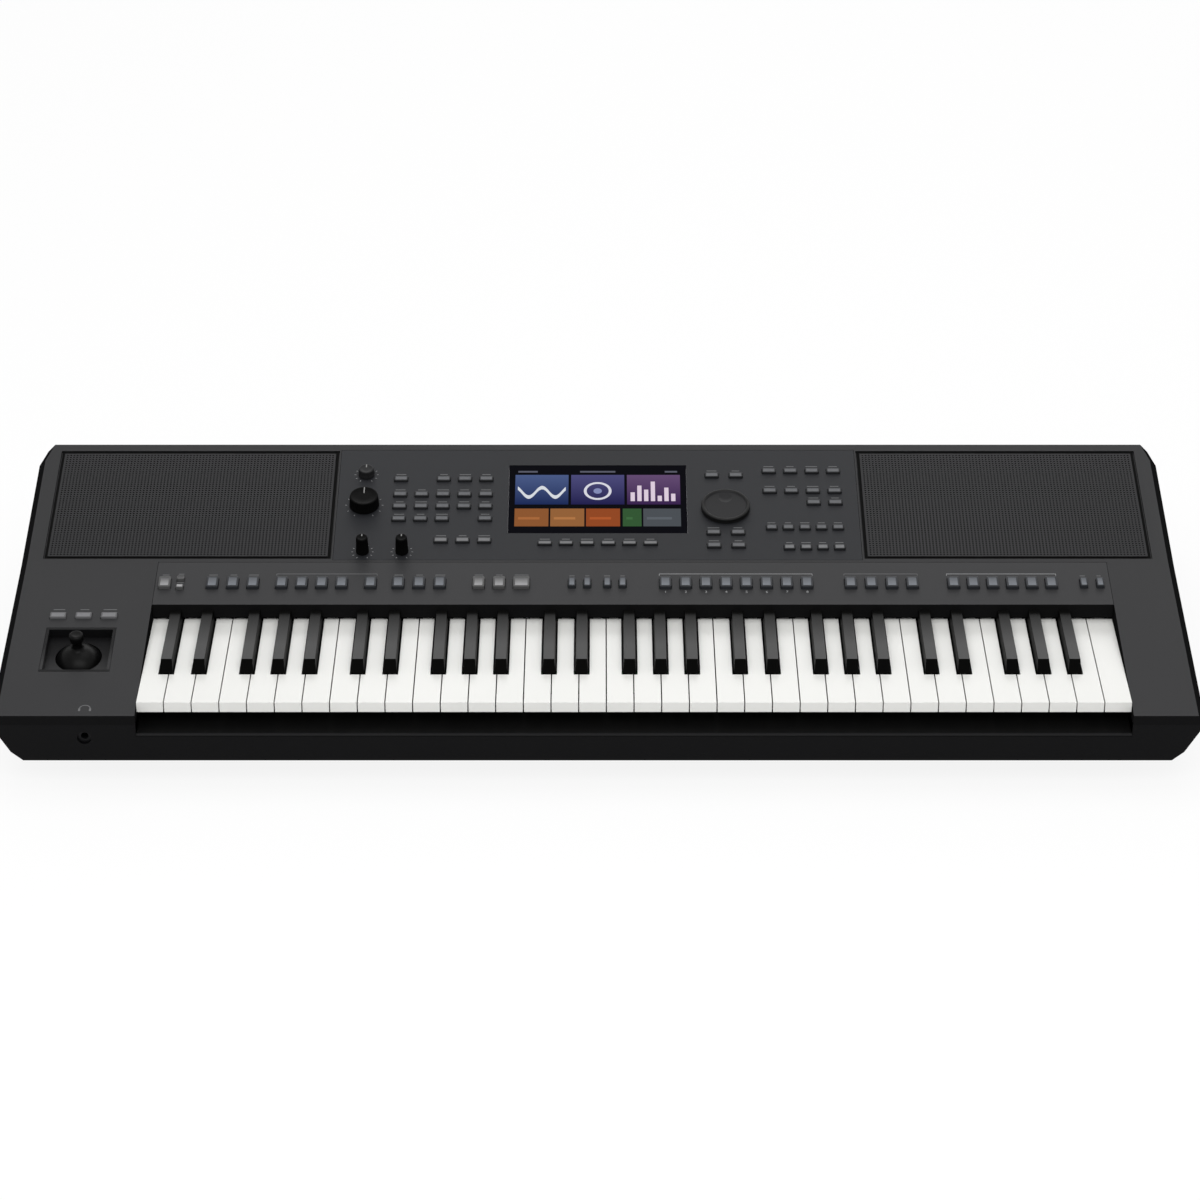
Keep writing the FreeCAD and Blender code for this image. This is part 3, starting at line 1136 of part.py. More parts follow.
for octave in range(OCTAVES):
    for first, count, stem in ((0, 3, three_stem), (3, 4, four_stem)):
        for step in range(2 * count - 1):
            start = f"({key_left} + {7 * octave + first} * Sizes.white_pitch)"
            middle = f"({start} + {stem} / 2 + {step} * ({stem} + Sizes.black_slot) / 2)"
            domes.append(box(f"dome_{octave}_{first}_{step}", (
                "2 * Sizes.dome_radius_x", "Sizes.dome_length", "Sizes.dome_height"),
                (f"{middle} - Sizes.dome_radius_x", f"{dome_y} - Sizes.dome_length / 2",
                 f"{dome_tip} - Sizes.dome_height")))
domes.append(box("dome_last", ("2 * Sizes.dome_radius_x", "Sizes.dome_length", "Sizes.dome_height"), (
    f"{key_right} - Sizes.white_pitch / 2 - Sizes.dome_radius_x", f"{dome_y} - Sizes.dome_length / 2",
    f"{dome_tip} - Sizes.dome_height")))
group("contact_domes", domes)

# Sockets at the back: each block carries its own part of the wall, which fills a notch in the case
rear_face = f"({rear_y} - Sizes.wall)"
face_low = "(Sizes.socket_sill + Sizes.seam)"
face_tall = f"(Sizes.split_height - Sizes.seam - {face_low})"


def socket_module(label, x, pitch, wide, tall, hollow):
    face_wide = f"({pitch} - 2 * Sizes.seam)"
    solid = fuse(f"{label}_solid", [
        box(f"{label}_face", (face_wide, "Sizes.wall", face_tall),
            (f"{x} - {face_wide} / 2", rear_face, face_low)),
        box(f"{label}_block", (wide, "Sizes.jack_length", tall),
            (f"{x} - {wide} / 2", f"{rear_face} - Sizes.jack_length", f"Sizes.jack_height - {tall} / 2")),
    ])
    return cut(label, solid, hollow)


def round_way(label, x, bore):
    return cylinder(f"{label}_bore", bore, "Sizes.jack_bore_depth + Sizes.wall",
                    (x, f"{rear_face} - Sizes.jack_bore_depth", "Sizes.jack_height"), "y")


sockets = []
for i, x in enumerate(jack_spots):
    way = round_way(f"rear_jack_{i}", x, "Sizes.jack_bore")
    sockets.append(socket_module(
        f"rear_jack_{i}", x, "Sizes.jack_pitch", "Sizes.jack_side", "Sizes.jack_side", way))
inlet_way = round_way("rear_inlet", "Sizes.inlet_x", "Sizes.inlet_bore")
sockets.append(socket_module(
    "rear_inlet", "Sizes.inlet_x", "Sizes.jack_pitch", "Sizes.jack_side", "Sizes.jack_side", inlet_way))
for i, x in enumerate(usb_spots):
    slot = box(f"usb_slot_{i}", ("Sizes.usb_width", "Sizes.usb_depth + Sizes.wall", "Sizes.usb_height"),
               (f"{x} - Sizes.usb_width / 2", f"{rear_face} - Sizes.usb_depth",
                "Sizes.jack_height - Sizes.usb_height / 2"))
    sockets.append(socket_module(
        f"usb_socket_{i}", x, "Sizes.usb_pitch", "Sizes.usb_side", "Sizes.usb_tall", slot))
group("rear_sockets", sockets)
phones_block = box("phones_block", ("Sizes.jack_side", "Sizes.jack_length", "Sizes.jack_side"), (
    f"{phones_middle} - Sizes.jack_side / 2", f"{front_y} + Sizes.wall",
    "Sizes.phones_height - Sizes.jack_side / 2"))
cut("headphone_jack", phones_block, cylinder(
    "phones_bore", "Sizes.jack_bore", "Sizes.jack_bore_depth",
    (phones_middle, f"{front_y} + Sizes.wall", "Sizes.phones_height"), "y"))

# Main board on four pillars, with a few of its large parts
board_top = "(Sizes.main_height + Sizes.circuit_thick)"
main_pieces = [box("main_sheet", ("Sizes.main_width", "Sizes.main_depth", "Sizes.circuit_thick"),
                   ("Sizes.main_left", "Sizes.main_front", "Sizes.main_height"))]
for i in range(2):
    for j in range(2):
        main_pieces.append(cylinder(
            f"main_pillar_{i}_{j}", "Sizes.post_small", f"Sizes.main_height - {floor_z}",
            (f"Sizes.main_left + 2 * Sizes.post_small + {i} * (Sizes.main_width - 4 * Sizes.post_small)",
             f"Sizes.main_front + 2 * Sizes.post_small + {j} * (Sizes.main_depth - 4 * Sizes.post_small)",
             floor_z)))
main_pieces.append(box("main_chip", ("Sizes.chip_side", "Sizes.chip_side", "Sizes.chip_height"), (
    "Sizes.main_left + Sizes.main_width / 3", "Sizes.main_front + Sizes.main_depth / 2", board_top)))
main_pieces.append(box("main_memory", ("Sizes.chip_side", "Sizes.chip_side / 2", "Sizes.chip_height"), (
    "Sizes.main_left + Sizes.main_width / 2", "Sizes.main_front + Sizes.main_depth / 2", board_top)))
main_pieces.append(box("main_sink", ("Sizes.sink_width", "Sizes.sink_depth", "Sizes.sink_height"), (
    "Sizes.main_left + Sizes.main_width / 2", "Sizes.main_front + Sizes.main_depth / 8", board_top)))
main_pieces.append(cylinder("main_can", "Sizes.can_radius", "Sizes.can_height", (
    "Sizes.main_left + Sizes.main_width / 5", "Sizes.main_front + Sizes.main_depth / 4", board_top)))
group("main_board", main_pieces)

doc.recompute()

LABELS = [
    "lower_case", "upper_case", "key_slip", "control_panel", "strip_panel", "grille_left", "grille_right",
    "display_glass", "display_module", "key_frame", "key_pivot_rod", "contact_board", "contact_domes",
    "main_board", "switch_boards", "woofers",
    "rear_sockets", "headphone_jack", "rubber_feet", "case_screws",
    "joystick_surround", "joystick_gimbal", "joystick_lever",
]
LABELS += list(KNOBS) + list(STRIP_GROUPS) + list(BLOCK_GROUPS) + list(PANEL_GROUPS)
for octave in range(OCTAVES):
    for kind in ("keys_c_e_g_b", "keys_d_f_a", "black_keys"):
        LABELS.append(f"octave_{octave + 1}_{kind}")

bad = [item.Name for item in doc.Objects if "Invalid" in item.State or "Error" in item.State]
if bad:
    raise RuntimeError(f"objects that did not build: {bad}")
os.makedirs("parts", exist_ok=True)
for label in LABELS:
    shape = doc.getObject(label).Shape
    if shape.isNull() or not shape.isValid() or not shape.Solids:
        raise RuntimeError(f"{label} has no sound shape")
    shape.exportStep(f"parts/{label}.step")
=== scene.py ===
# %% [markdown]
# # Dressing an arranger keyboard
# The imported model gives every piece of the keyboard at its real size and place. This lesson keeps that
# frame as it is and adds what a camera sees: grained plastic, glossy keys, perforated grilles, caps with
# windows, ribbed knobs, a lit display and printed marks. All lengths are in metres.

# %% Load the frame
import json
import math

import bmesh
import bpy
from mathutils import Matrix, Vector


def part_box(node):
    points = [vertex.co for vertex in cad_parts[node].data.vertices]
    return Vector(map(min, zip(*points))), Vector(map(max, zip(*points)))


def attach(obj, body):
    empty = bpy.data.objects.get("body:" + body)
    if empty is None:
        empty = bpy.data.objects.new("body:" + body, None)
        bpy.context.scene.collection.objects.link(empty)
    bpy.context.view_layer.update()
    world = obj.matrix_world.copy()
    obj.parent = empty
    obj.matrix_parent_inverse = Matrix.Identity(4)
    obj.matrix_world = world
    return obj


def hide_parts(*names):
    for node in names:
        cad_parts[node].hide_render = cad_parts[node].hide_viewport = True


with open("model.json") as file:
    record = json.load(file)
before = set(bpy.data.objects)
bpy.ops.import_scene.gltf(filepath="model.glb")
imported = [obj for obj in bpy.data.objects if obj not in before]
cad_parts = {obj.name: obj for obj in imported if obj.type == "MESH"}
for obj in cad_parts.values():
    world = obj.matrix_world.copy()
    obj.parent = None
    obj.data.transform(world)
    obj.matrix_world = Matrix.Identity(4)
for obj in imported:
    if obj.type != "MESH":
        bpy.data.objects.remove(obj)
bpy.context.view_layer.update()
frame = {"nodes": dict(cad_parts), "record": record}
nodes = frame["nodes"]
MM = 0.001

# %% [markdown]
# ## The camera
# The photograph looks down on the keys at thirty degrees through a long lens, from straight ahead. The
# spacing of the white keys fixed that view, so the camera is written as plain numbers. There is no shift.

# %% Camera
PHOTO_WIDTH = 1200
FOCAL_PIXELS = 3635.6
SENSOR = 36.0
PITCH = math.radians(30.0)
CAMERA_SPOT = (2.1 * MM, -2830.3 * MM, 1697.3 * MM)

camera_data = bpy.data.cameras.new("photo_camera")
camera_data.sensor_width = SENSOR
camera_data.lens = FOCAL_PIXELS * SENSOR / PHOTO_WIDTH
camera = bpy.data.objects.new("photo_camera", camera_data)
camera.location = CAMERA_SPOT
camera.rotation_euler = (math.pi / 2 - PITCH, 0, 0)
bpy.context.scene.collection.objects.link(camera)
bpy.context.scene.camera = camera
print("lens:", round(camera_data.lens, 2), "mm")

# %% [markdown]
# ## Two sloped planes
# Nearly everything on top lies on one of two planes: the strip and the end blocks on the lower one, the
# panel and the grilles on the upper one. A piece is modelled flat, with x along the keys, v up the slope
# and w out of the plane, and one matrix then lays it in place.

# %% Plane matrices
STRIP_SLOPE = math.radians(8.25)
PANEL_SLOPE = math.radians(11.45)
FRONT_EDGE = Vector((0, -215 * MM, 74 * MM))
CREASE = Vector((0, -4 * MM, 104.5935 * MM))
STRIP = Matrix.Translation(FRONT_EDGE) @ Matrix.Rotation(STRIP_SLOPE, 4, "X")
PANEL = Matrix.Translation(CREASE) @ Matrix.Rotation(PANEL_SLOPE, 4, "X")
print("panel normal:", [round(x, 3) for x in PANEL.to_3x3().col[2]])

# %% [markdown]
# ## Writing shader maths as Python
# A shader graph is a sum like any other, so a small class wraps a socket and lets Python's operators add
# the Math nodes. Every other node comes from one method, which takes the node's type, its settings and
# what goes into its sockets.


# %% Socket and graph classes
class Wire:
    """One output socket that can be added, multiplied and compared."""

    def __init__(self, graph, socket):
        self.graph = graph
        self.socket = socket

    def sum(self, operation, first, second):
        return self.graph.node("ShaderNodeMath", {"operation": operation}, {0: first, 1: second})

    def __add__(self, other):
        return self.sum("ADD", self, other)

    def __radd__(self, other):
        return self.sum("ADD", other, self)

    def __sub__(self, other):
        return self.sum("SUBTRACT", self, other)

    def __rsub__(self, other):
        return self.sum("SUBTRACT", other, self)

    def __mul__(self, other):
        return self.sum("MULTIPLY", self, other)

    def __rmul__(self, other):
        return self.sum("MULTIPLY", other, self)

    def __truediv__(self, other):
        return self.sum("DIVIDE", self, other)

    def __rtruediv__(self, other):
        return self.sum("DIVIDE", other, self)

    def __gt__(self, other):
        return self.sum("GREATER_THAN", self, other)

    def __lt__(self, other):
        return self.sum("LESS_THAN", self, other)


class Graph:
    """A node tree, of a finish or of the world, whose nodes are made from Python values."""

    def __init__(self, tree):
        self.tree = tree

    def node(self, kind, settings=None, sockets=None, out=0):
        made = self.tree.nodes.new(kind)
        for name, value in (settings or {}).items():
            setattr(made, name, value)
        for name, value in (sockets or {}).items():
            self.join(value, made.inputs[name])
        return Wire(self, made.outputs[out])

    def join(self, value, socket):
        if isinstance(value, Wire):
            self.tree.links.new(value.socket, socket)
        else:
            socket.default_value = value


print("socket and graph classes are ready")

# %% [markdown]
# ## One class for every finish
# Plastic, metal, paper and glass all end in the same surface shader, so one class makes the material, fills
# the shader's sockets and holds the few nodes that every finish needs: the place on the piece, a noise, a
# mix of two colours and a bump. A finish is then a short function of its own.


# %% Finish class
class Finish(Graph):
    """One node material with a single surface shader."""

    def __init__(self, name, **plain):
        self.material = bpy.data.materials.new(name)
        self.material.use_nodes = True
        super().__init__(self.material.node_tree)
        self.shader = self.tree.nodes["Principled BSDF"]
        self.set(**plain)

    def set(self, **sockets):
        """Fill the shader's sockets, named in Python's way: coat_weight is Coat Weight."""
        for name, value in sockets.items():
            label = name.replace("_", " ").title().replace("Ior", "IOR")
            self.join(value, self.shader.inputs[label])

    def place(self):
        """Object coordinates, which are metres in the shared frame."""
        return self.node("ShaderNodeTexCoord", out="Object")

    def along(self, axis):
        """The place along one axis: 0 is x, 1 is y and 2 is z."""
        return self.node("ShaderNodeSeparateXYZ", None, {0: self.place()}, axis)

    def noise(self, scale, detail=2.0, stretch=(1, 1, 1)):
        spot = self.node("ShaderNodeMapping", None, {"Vector": self.place(), "Scale": stretch})
        return self.node("ShaderNodeTexNoise", None, {"Vector": spot, "Scale": scale, "Detail": detail})

    def mix(self, share, first, second):
        return self.node("ShaderNodeMix", {"data_type": "RGBA"}, {0: share, 6: first, 7: second}, 2)

    def bump(self, height, depth, strength=1.0):
        sockets = {"Height": height, "Distance": depth, "Strength": strength}
        self.set(normal=self.node("ShaderNodeBump", None, sockets))


def shade(colour, factor):
    return (*(min(1.0, c * factor) for c in colour[:3]), 1.0)


print("finish helpers are ready")

# %% [markdown]
# ## Moulded plastic
# The case is injection moulded with a fine spark grain: tiny bumps about half a millimetre wide that make
# the black plastic read as dark grey. Two noises do it. The fine one gives the grain its bump, and a wide
# one lets the tone and the gloss drift a little, as handled plastic does. A picture of plastic would show its
# seams on so many shapes, and a noise in space has none.

# %% Grained plastic
GRAIN_SCALE = 1500.0
GRAIN_STRENGTH = 0.6
PIT_SHARE = 0.7
DRIFT_SCALE = 14.0
DRIFT_SHARE = 0.14
GLOSS_SPAN = 0.1


def grained(name, colour, rough, depth=0.03 * MM, level=0.16, masked=None, second=None):
    """Moulded plastic. Where the mask is one, the second colour takes the place of the first."""
    finish = Finish(name, specular_ior_level=level)
    grain = finish.noise(GRAIN_SCALE, 2.0)
    drift = finish.noise(DRIFT_SCALE, 3.0)
    tone = finish.mix(drift, shade(colour, 1 - DRIFT_SHARE), shade(colour, 1 + DRIFT_SHARE))
    speck = finish.mix(grain * 0.5, tone, shade(colour, PIT_SHARE))
    if masked:
        speck = finish.mix(masked(finish), speck, second)
    finish.set(base_color=speck, roughness=rough - GLOSS_SPAN / 2 + GLOSS_SPAN * drift)
    finish.bump(grain, depth, GRAIN_STRENGTH)
    return finish.material


print("grain about", round(1 / GRAIN_SCALE / MM, 2), "mm wide")

# %% [markdown]
# ## Two places of painted light
# The front edge of the ledge below the keys carries a painted highlight, a pale line where the edge catches
# the light, and the floor of the joystick's well is painted paler toward the player, as painted light where
# more light falls in. Each is a mask worked out from the place on the piece, so it needs no cut in the mesh
# and stays at its place whatever the piece's faces are.

# %% Masks
LEDGE_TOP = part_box("key_slip")[1][2]
LEDGE_HIGHLIGHT_BAND = 1.7 * MM
WELL_FRONT = -153.4 * MM
WELL_MIDDLE = -122 * MM
WELL_FADE = 22 * MM


def painted_ledge_highlight(finish):
    """One along the top front edge of the ledge below the keys, where the painted highlight lies."""
    return (finish.along(1) < FRONT_EDGE.y + LEDGE_HIGHLIGHT_BAND) * (finish.along(2) > LEDGE_TOP - LEDGE_HIGHLIGHT_BAND)


def painted_well_light(finish):
    """Grows from nought to one along the front half of the joystick well's floor: the mask of its painted
    light.
    """
    y = finish.along(1)
    return (y > WELL_FRONT) * ((WELL_MIDDLE - y) / WELL_FADE)


print("ledge top at", round(LEDGE_TOP, 4))

# %% [markdown]
# ## The plastics of this keyboard
# Top shell, tub, strip, panel and ledge are mouldings of their own, and each gets its own tone and gloss
# from the one function. Knobs and dial are smoother, and rubber is the same grain, deeper and without gloss.

# %% Plastics
# Pale grey of the painted highlight along the ledge's front edge.
LEDGE_HIGHLIGHT_GREY = (0.011, 0.011, 0.0115, 1)
# Paler grey of the painted light on the front of the joystick well's floor.
WELL_PAINTED_LIGHT = (0.03, 0.03, 0.031, 1)
SMOOTH_GRAIN = 0.015 * MM
RUBBER_GRAIN = 0.05 * MM
case_top = grained("case_top_plastic", (0.0252, 0.0252, 0.0265), 0.55)
case_dark = grained("case_lower_plastic", (0.0022, 0.0022, 0.0026), 0.5, level=0.085)
# A darker finish for faces that look sideways or to the player; on the skirt behind the keys it is painted
# shade.
upright_dark = grained("bare_black_plastic", (0.0085, 0.0085, 0.0088), 0.7, level=0.0)
strip_plastic = grained("strip_plastic", (0.0292, 0.0292, 0.0308), 0.52)
panel_plastic = grained("panel_plastic", (0.0158, 0.0166, 0.0192), 0.5)
# The ledge's pale front edge line is a painted highlight.
slip_plastic = grained(
    "slip_plastic", (0.003, 0.003, 0.003), 0.55, level=0.085, masked=painted_ledge_highlight, second=LEDGE_HIGHLIGHT_GREY)
# The well's floor is painted paler toward the player, as painted light.
well_plastic = grained(
    "joystick_well_plastic", (0.006, 0.006, 0.0065), 0.5, level=0.1, masked=painted_well_light, second=WELL_PAINTED_LIGHT)
knob_plastic = grained("knob_plastic", (0.0022, 0.0022, 0.0022), 0.42, SMOOTH_GRAIN, 0.03)
dial_plastic = grained("dial_plastic", (0.0115, 0.0115, 0.0125), 0.46, SMOOTH_GRAIN, 0.14)
# Darker rim and sides of the dial: painted shade.
dial_side_shade = grained("dial_rim_plastic", (0.006, 0.006, 0.006), 0.42, SMOOTH_GRAIN, 0.14)
socket_plastic = grained("socket_plastic", (0.006, 0.006, 0.007), 0.45)
rubber = grained("foot_rubber", (0.012, 0.012, 0.012), 0.8, RUBBER_GRAIN)
dome_rubber = grained("dome_rubber", (0.05, 0.05, 0.05), 0.75, RUBBER_GRAIN)
print("plastics made")

# %% [markdown]
# ## Key plastic
# White keys are glossy and very slightly warm, black keys are satin with a faint lengthwise grain. Neither
# is grained like the case, so the noise here is faint: it only breaks the reflections a little. The black
# keys' fronts and flanks are left matt by the mould and are painted darker, as painted shade, so they have a
# finish of their own. Their tops shine through a clear coat that fades toward the skirt as painted shade
# from the skirt.

# %% Key finishes
COAT_ROUGHNESS = 0.12
SKIRT_SHADE_SPAN = (-125 * MM, -66 * MM)
KEY_DRIFT_SCALE = 9.0
KEY_BRUSH_SCALE = 420.0
KEY_GLOSS_SPAN = 0.08
KEY_TONES = (0.965, 1.03)
KEY_GRAIN = 0.004 * MM


def key_finish(name, colour, rough, coat, level, stretch, fade=None):
    """Smooth key plastic. A fade gives the two places along y between which the coat goes to nought, as
    painted shade.
    """
    coat_rough = rough if fade else COAT_ROUGHNESS
    finish = Finish(name, coat_weight=coat, coat_roughness=coat_rough, specular_ior_level=level)
    if fade:
        near, far = fade
        finish.set(coat_weight=finish.node("ShaderNodeMapRange", None, {
            "Value": finish.along(1), "From Min": near, "From Max": far, "To Min": coat, "To Max": 0.0}))
    drift = finish.noise(KEY_DRIFT_SCALE, 3.0)
    brush = finish.noise(KEY_BRUSH_SCALE, 2.0, stretch)
    finish.set(
        base_color=finish.mix(drift, *(shade(colour, tone) for tone in KEY_TONES)),
        roughness=rough - KEY_GLOSS_SPAN / 2 + KEY_GLOSS_SPAN * brush,
    )
    finish.bump(brush, KEY_GRAIN, 0.5)
    return finish.material


white_key = key_finish("white_key_plastic", (0.76, 0.76, 0.735), 0.3, 0.1, 0.3, (1, 1, 1))
# The black keys' coat fades toward the skirt: painted shade from the skirt.
black_key = key_finish(
    "black_key_plastic", (0.004, 0.004, 0.0038), 0.29, 0.49, 0.02, (1, 0.12, 1), SKIRT_SHADE_SPAN)
# Fronts and flanks of the black keys: a darker colour as painted shade.
black_key_shaded_flank = key_finish("black_key_flanks", (0.0012, 0.0012, 0.0011), 0.45, 0.0, 0.016, (1, 1, 0.12))
print("key finishes made")

# %% [markdown]
# ## Metal, boards and the rest inside
# The chassis, the rod and the boards are out of sight in the photograph, but they show when the case is
# opened. Brushed sheet is a noise stretched along its rolling direction, and a board is a green lacquer
# over a grid of copper tracks.

# %% Inner finishes
BRUSH_SCALE = 300.0
BRUSH_DEPTH = 0.005 * MM
BRUSH_TONES = (0.85, 1.1)
BRUSH_GLOSS_SPAN = 0.2
TRACK_SCALE = 120.0
TRACK_WIDTH = 0.06
TRACK_HEIGHT = 0.03 * MM
LACQUER_SCALE = 60.0


def brushed(name, colour, rough, stretch):
    finish = Finish(name, metallic=1.0)
    brush = finish.noise(BRUSH_SCALE, 3.0, stretch)
    finish.set(
        base_color=finish.mix(brush, *(shade(colour, tone) for tone in BRUSH_TONES)),
        roughness=rough - BRUSH_GLOSS_SPAN / 2 + BRUSH_GLOSS_SPAN * brush,
    )
    finish.bump(brush, BRUSH_DEPTH, 0.4)
    return finish.material


def lacquered_board(name):
    finish = Finish(name)
    tracks = finish.node(
        "ShaderNodeTexBrick", {"offset": 0.5},
        {"Vector": finish.place(), "Scale": TRACK_SCALE, "Mortar Size": TRACK_WIDTH}, "Fac")
    drift = finish.noise(LACQUER_SCALE, 4.0)
    lacquer = finish.mix(drift, (0.008, 0.06, 0.025, 1), (0.02, 0.11, 0.045, 1))
    finish.set(base_color=finish.mix(tracks, lacquer, (0.05, 0.2, 0.08, 1)), roughness=0.3 + 0.15 * drift)
    finish.bump(tracks, TRACK_HEIGHT)
    return finish.material


steel = brushed("chassis_sheet", (0.55, 0.56, 0.58), 0.35, (0.05, 1, 1))
rod_steel = brushed("pivot_rod_steel", (0.6, 0.6, 0.62), 0.25, (0.03, 1, 1))
screw_steel = brushed("screw_zinc", (0.5, 0.5, 0.48), 0.32, (1, 1, 1))
tray_metal = brushed("display_tray", (0.5, 0.5, 0.52), 0.35, (0.05, 1, 1))
ring_nickel = brushed("socket_ring_nickel", (0.62, 0.6, 0.57), 0.24, (1, 1, 1))
board_green = lacquered_board("board_lacquer")
driver_paint = grained("driver_paint", (0.02, 0.02, 0.02), 0.5)
gimbal_plastic = grained("gimbal_plastic", (0.02, 0.02, 0.02), 0.45)
print("inner finishes made")

# %% [markdown]
# ## Dressing the CAD pieces
# A machined edge is never sharp enough to cut, and a small rounded edge is what catches the light. The CAD
# meshes come as triangles, so each piece first welds its seams and dissolves its flat faces, then gets a
# bevel only where faces meet at a clear angle. These are modifiers: the CAD mesh itself stays as it is. The
# bevel along the case's sides, its upright front edge and the skirt behind the keys take a second, darker
# finish, picked by the way their faces look; on the skirt this dark is painted shade.

# %% Dress function
WELD_REACH = 0.01 * MM
FLAT_ANGLE = math.radians(1)
EDGE_ANGLE = math.radians(32)
SIDEWAYS = 0.5


def dress(node, material, edge=0.4 * MM, steps=2, upright=None):
    """Give a CAD piece its finish. Faces that look sideways or to the player can have another one."""
    piece = nodes[node]
    piece.data.materials.clear()
    piece.data.materials.append(material)
    if upright:
        piece.data.materials.append(upright)
    weld = piece.modifiers.new("weld", "WELD")
    weld.merge_threshold = WELD_REACH
    flat = piece.modifiers.new("flat_faces", "DECIMATE")
    flat.decimate_type = "DISSOLVE"
    flat.angle_limit = FLAT_ANGLE
    if edge:
        soft = piece.modifiers.new("edges", "BEVEL")
        soft.width = edge
        soft.segments = steps
        soft.limit_method = "ANGLE"
        soft.angle_limit = EDGE_ANGLE
    normals = piece.modifiers.new("normals", "WEIGHTED_NORMAL")
    normals.keep_sharp = False
    for face in piece.data.polygons:
        face.use_smooth = True
        if upright and (abs(face.normal.x) > SIDEWAYS or face.normal.y < -SIDEWAYS):
            face.material_index = 1


print("edges rounded above", round(math.degrees(EDGE_ANGLE)), "degrees")

# %% Pieces dressed
for octave in range(1, 6):
    for group in ("keys_c_e_g_b", "keys_d_f_a"):
        dress(f"octave_{octave}_{group}", white_key, 0.9 * MM, 3)
    dress(f"octave_{octave}_black_keys", black_key, 1.1 * MM, 3, black_key_shaded_flank)
for node, material, edge in (
    ("lower_case", case_dark, 1.2 * MM), ("key_slip", slip_plastic, 0.5 * MM),
    ("control_panel", panel_plastic, 0.25 * MM), ("display_module", tray_metal, 0.4 * MM),
    ("key_frame", steel, 0.2 * MM), ("key_pivot_rod", rod_steel, 0.2 * MM),
    ("contact_board", board_green, 0.1 * MM), ("contact_domes", dome_rubber, 0.8 * MM),
    ("main_board", board_green, 0.15 * MM), ("switch_boards", board_green, 0),
    ("woofers", driver_paint, 0.5 * MM), ("rear_sockets", socket_plastic, 0.3 * MM),
    ("headphone_jack", socket_plastic, 0.3 * MM), ("rubber_feet", rubber, 1.2 * MM),
    ("case_screws", screw_steel, 0.3 * MM), ("joystick_surround", well_plastic, 0.5 * MM),
    ("joystick_gimbal", gimbal_plastic, 0.25 * MM),
):
    dress(node, material, edge)
dress("upper_case", case_top, 0.7 * MM, upright=upright_dark)
dress("strip_panel", strip_plastic, 0.5 * MM, upright=upright_dark)
print("CAD pieces dressed")

# %% [markdown]
# ## Building meshes by rings
# Caps, knobs and the stick are all stacks of rings: a cap's rings are rounded rectangles, a knob's are
# circles. Blender's ready cubes and cylinders would need a cut for every step of the outline. So one helper
# bridges rings into a closed mesh, and another turns a list of faces into a piece that rides on its body.


# %% Ring helper
class Shell:
    """Points and faces of one piece, gathered before the mesh is made."""

    def __init__(self):
        self.points = []
        self.faces = []
        self.paints = []

    def ring(self, points):
        start = len(self.points)
        self.points += points
        return list(range(start, start + len(points)))

    def face(self, corners, paint=0):
        self.faces.append(corners)
        self.paints.append(paint)

    def bridge(self, low, high, paint=0):
        count = len(low)
        for i in range(count):
            j = (i + 1) % count
            self.face((low[i], low[j], high[j], high[i]), paint)

    def stack(self, rings, paints=None, top_paint=0):
        """Bridge rings from the bottom up, and close both ends."""
        made = [self.ring(points) for points in rings]
        self.face(tuple(reversed(made[0])))
        for i in range(len(made) - 1):
            self.bridge(made[i], made[i + 1], paints[i] if paints else 0)
        self.face(tuple(made[-1]), top_paint)

    def block(self, low, high, paint=0):
        """A plain thin plate between two corners, for printed marks."""
        (x0, v0, w0), (x1, v1, w1) = low, high
        base = [(x0, v0), (x1, v0), (x1, v1), (x0, v1)]
        under = self.ring([(x, v, w0) for x, v in base])
        over = self.ring([(x, v, w1) for x, v in base])
        self.face(tuple(reversed(under)), paint)
        self.bridge(under, over, paint)
        self.face(tuple(over), paint)


print("rings can be bridged")


# %% Piece helper and outlines
def settle(name, shell, matrix, body, materials, replaced=(), smooth=None):
    """Make the mesh, lay it on its plane and let it ride on its body, in place of the nodes named.

    With an angle for smooth, only edges sharper than that many degrees show.
    """
    mesh = bpy.data.meshes.new(name)
    mesh.from_pydata([Vector(p) for p in shell.points], [], shell.faces)
    for material in materials:
        mesh.materials.append(material)
    mesh.polygons.foreach_set("material_index", shell.paints)
    mesh.transform(matrix)
    mesh.polygons.foreach_set("use_smooth", [smooth is not None] * len(mesh.polygons))
    if smooth is not None:
        mesh.set_sharp_from_angle(angle=math.radians(smooth))
    mesh.update()
    piece = bpy.data.objects.new(name, mesh)
    bpy.context.scene.collection.objects.link(piece)
    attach(piece, body)
    for node in replaced:
        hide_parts(node)


def soft_box(middle, half, radius, w, steps=4):
    """One rounded rectangle at height w."""
    points = []
    radius = min(radius, half[0] * 0.98, half[1] * 0.98)
    for corner, (sx, sv) in enumerate(((1, 1), (-1, 1), (-1, -1), (1, -1))):
        for step in range(steps + 1):
            turn = math.pi / 2 * (corner + step / steps)
            points.append((
                middle[0] + sx * (half[0] - radius) + radius * math.cos(turn),
                middle[1] + sv * (half[1] - radius) + radius * math.sin(turn),
                w,
            ))
    return points


def circle(middle, radius, w, count=64):
    turns = [2 * math.pi * i / count for i in range(count)]
    return [(middle[0] + radius * math.cos(t), middle[1] + radius * math.sin(t), w) for t in turns]


print("mesh helpers are ready")

# %% [markdown]
# ## Where the caps are
# Each group of buttons is one CAD node with a separate solid for every cap. Instead of copying their
# places, the script walks the node's mesh, finds each connected solid, and reads its box in the plane's own
# coordinates. The flange below the plate is wider than the cap by a known rim.

# %% Cap places
FLANGE_RIM = 0.9 * MM


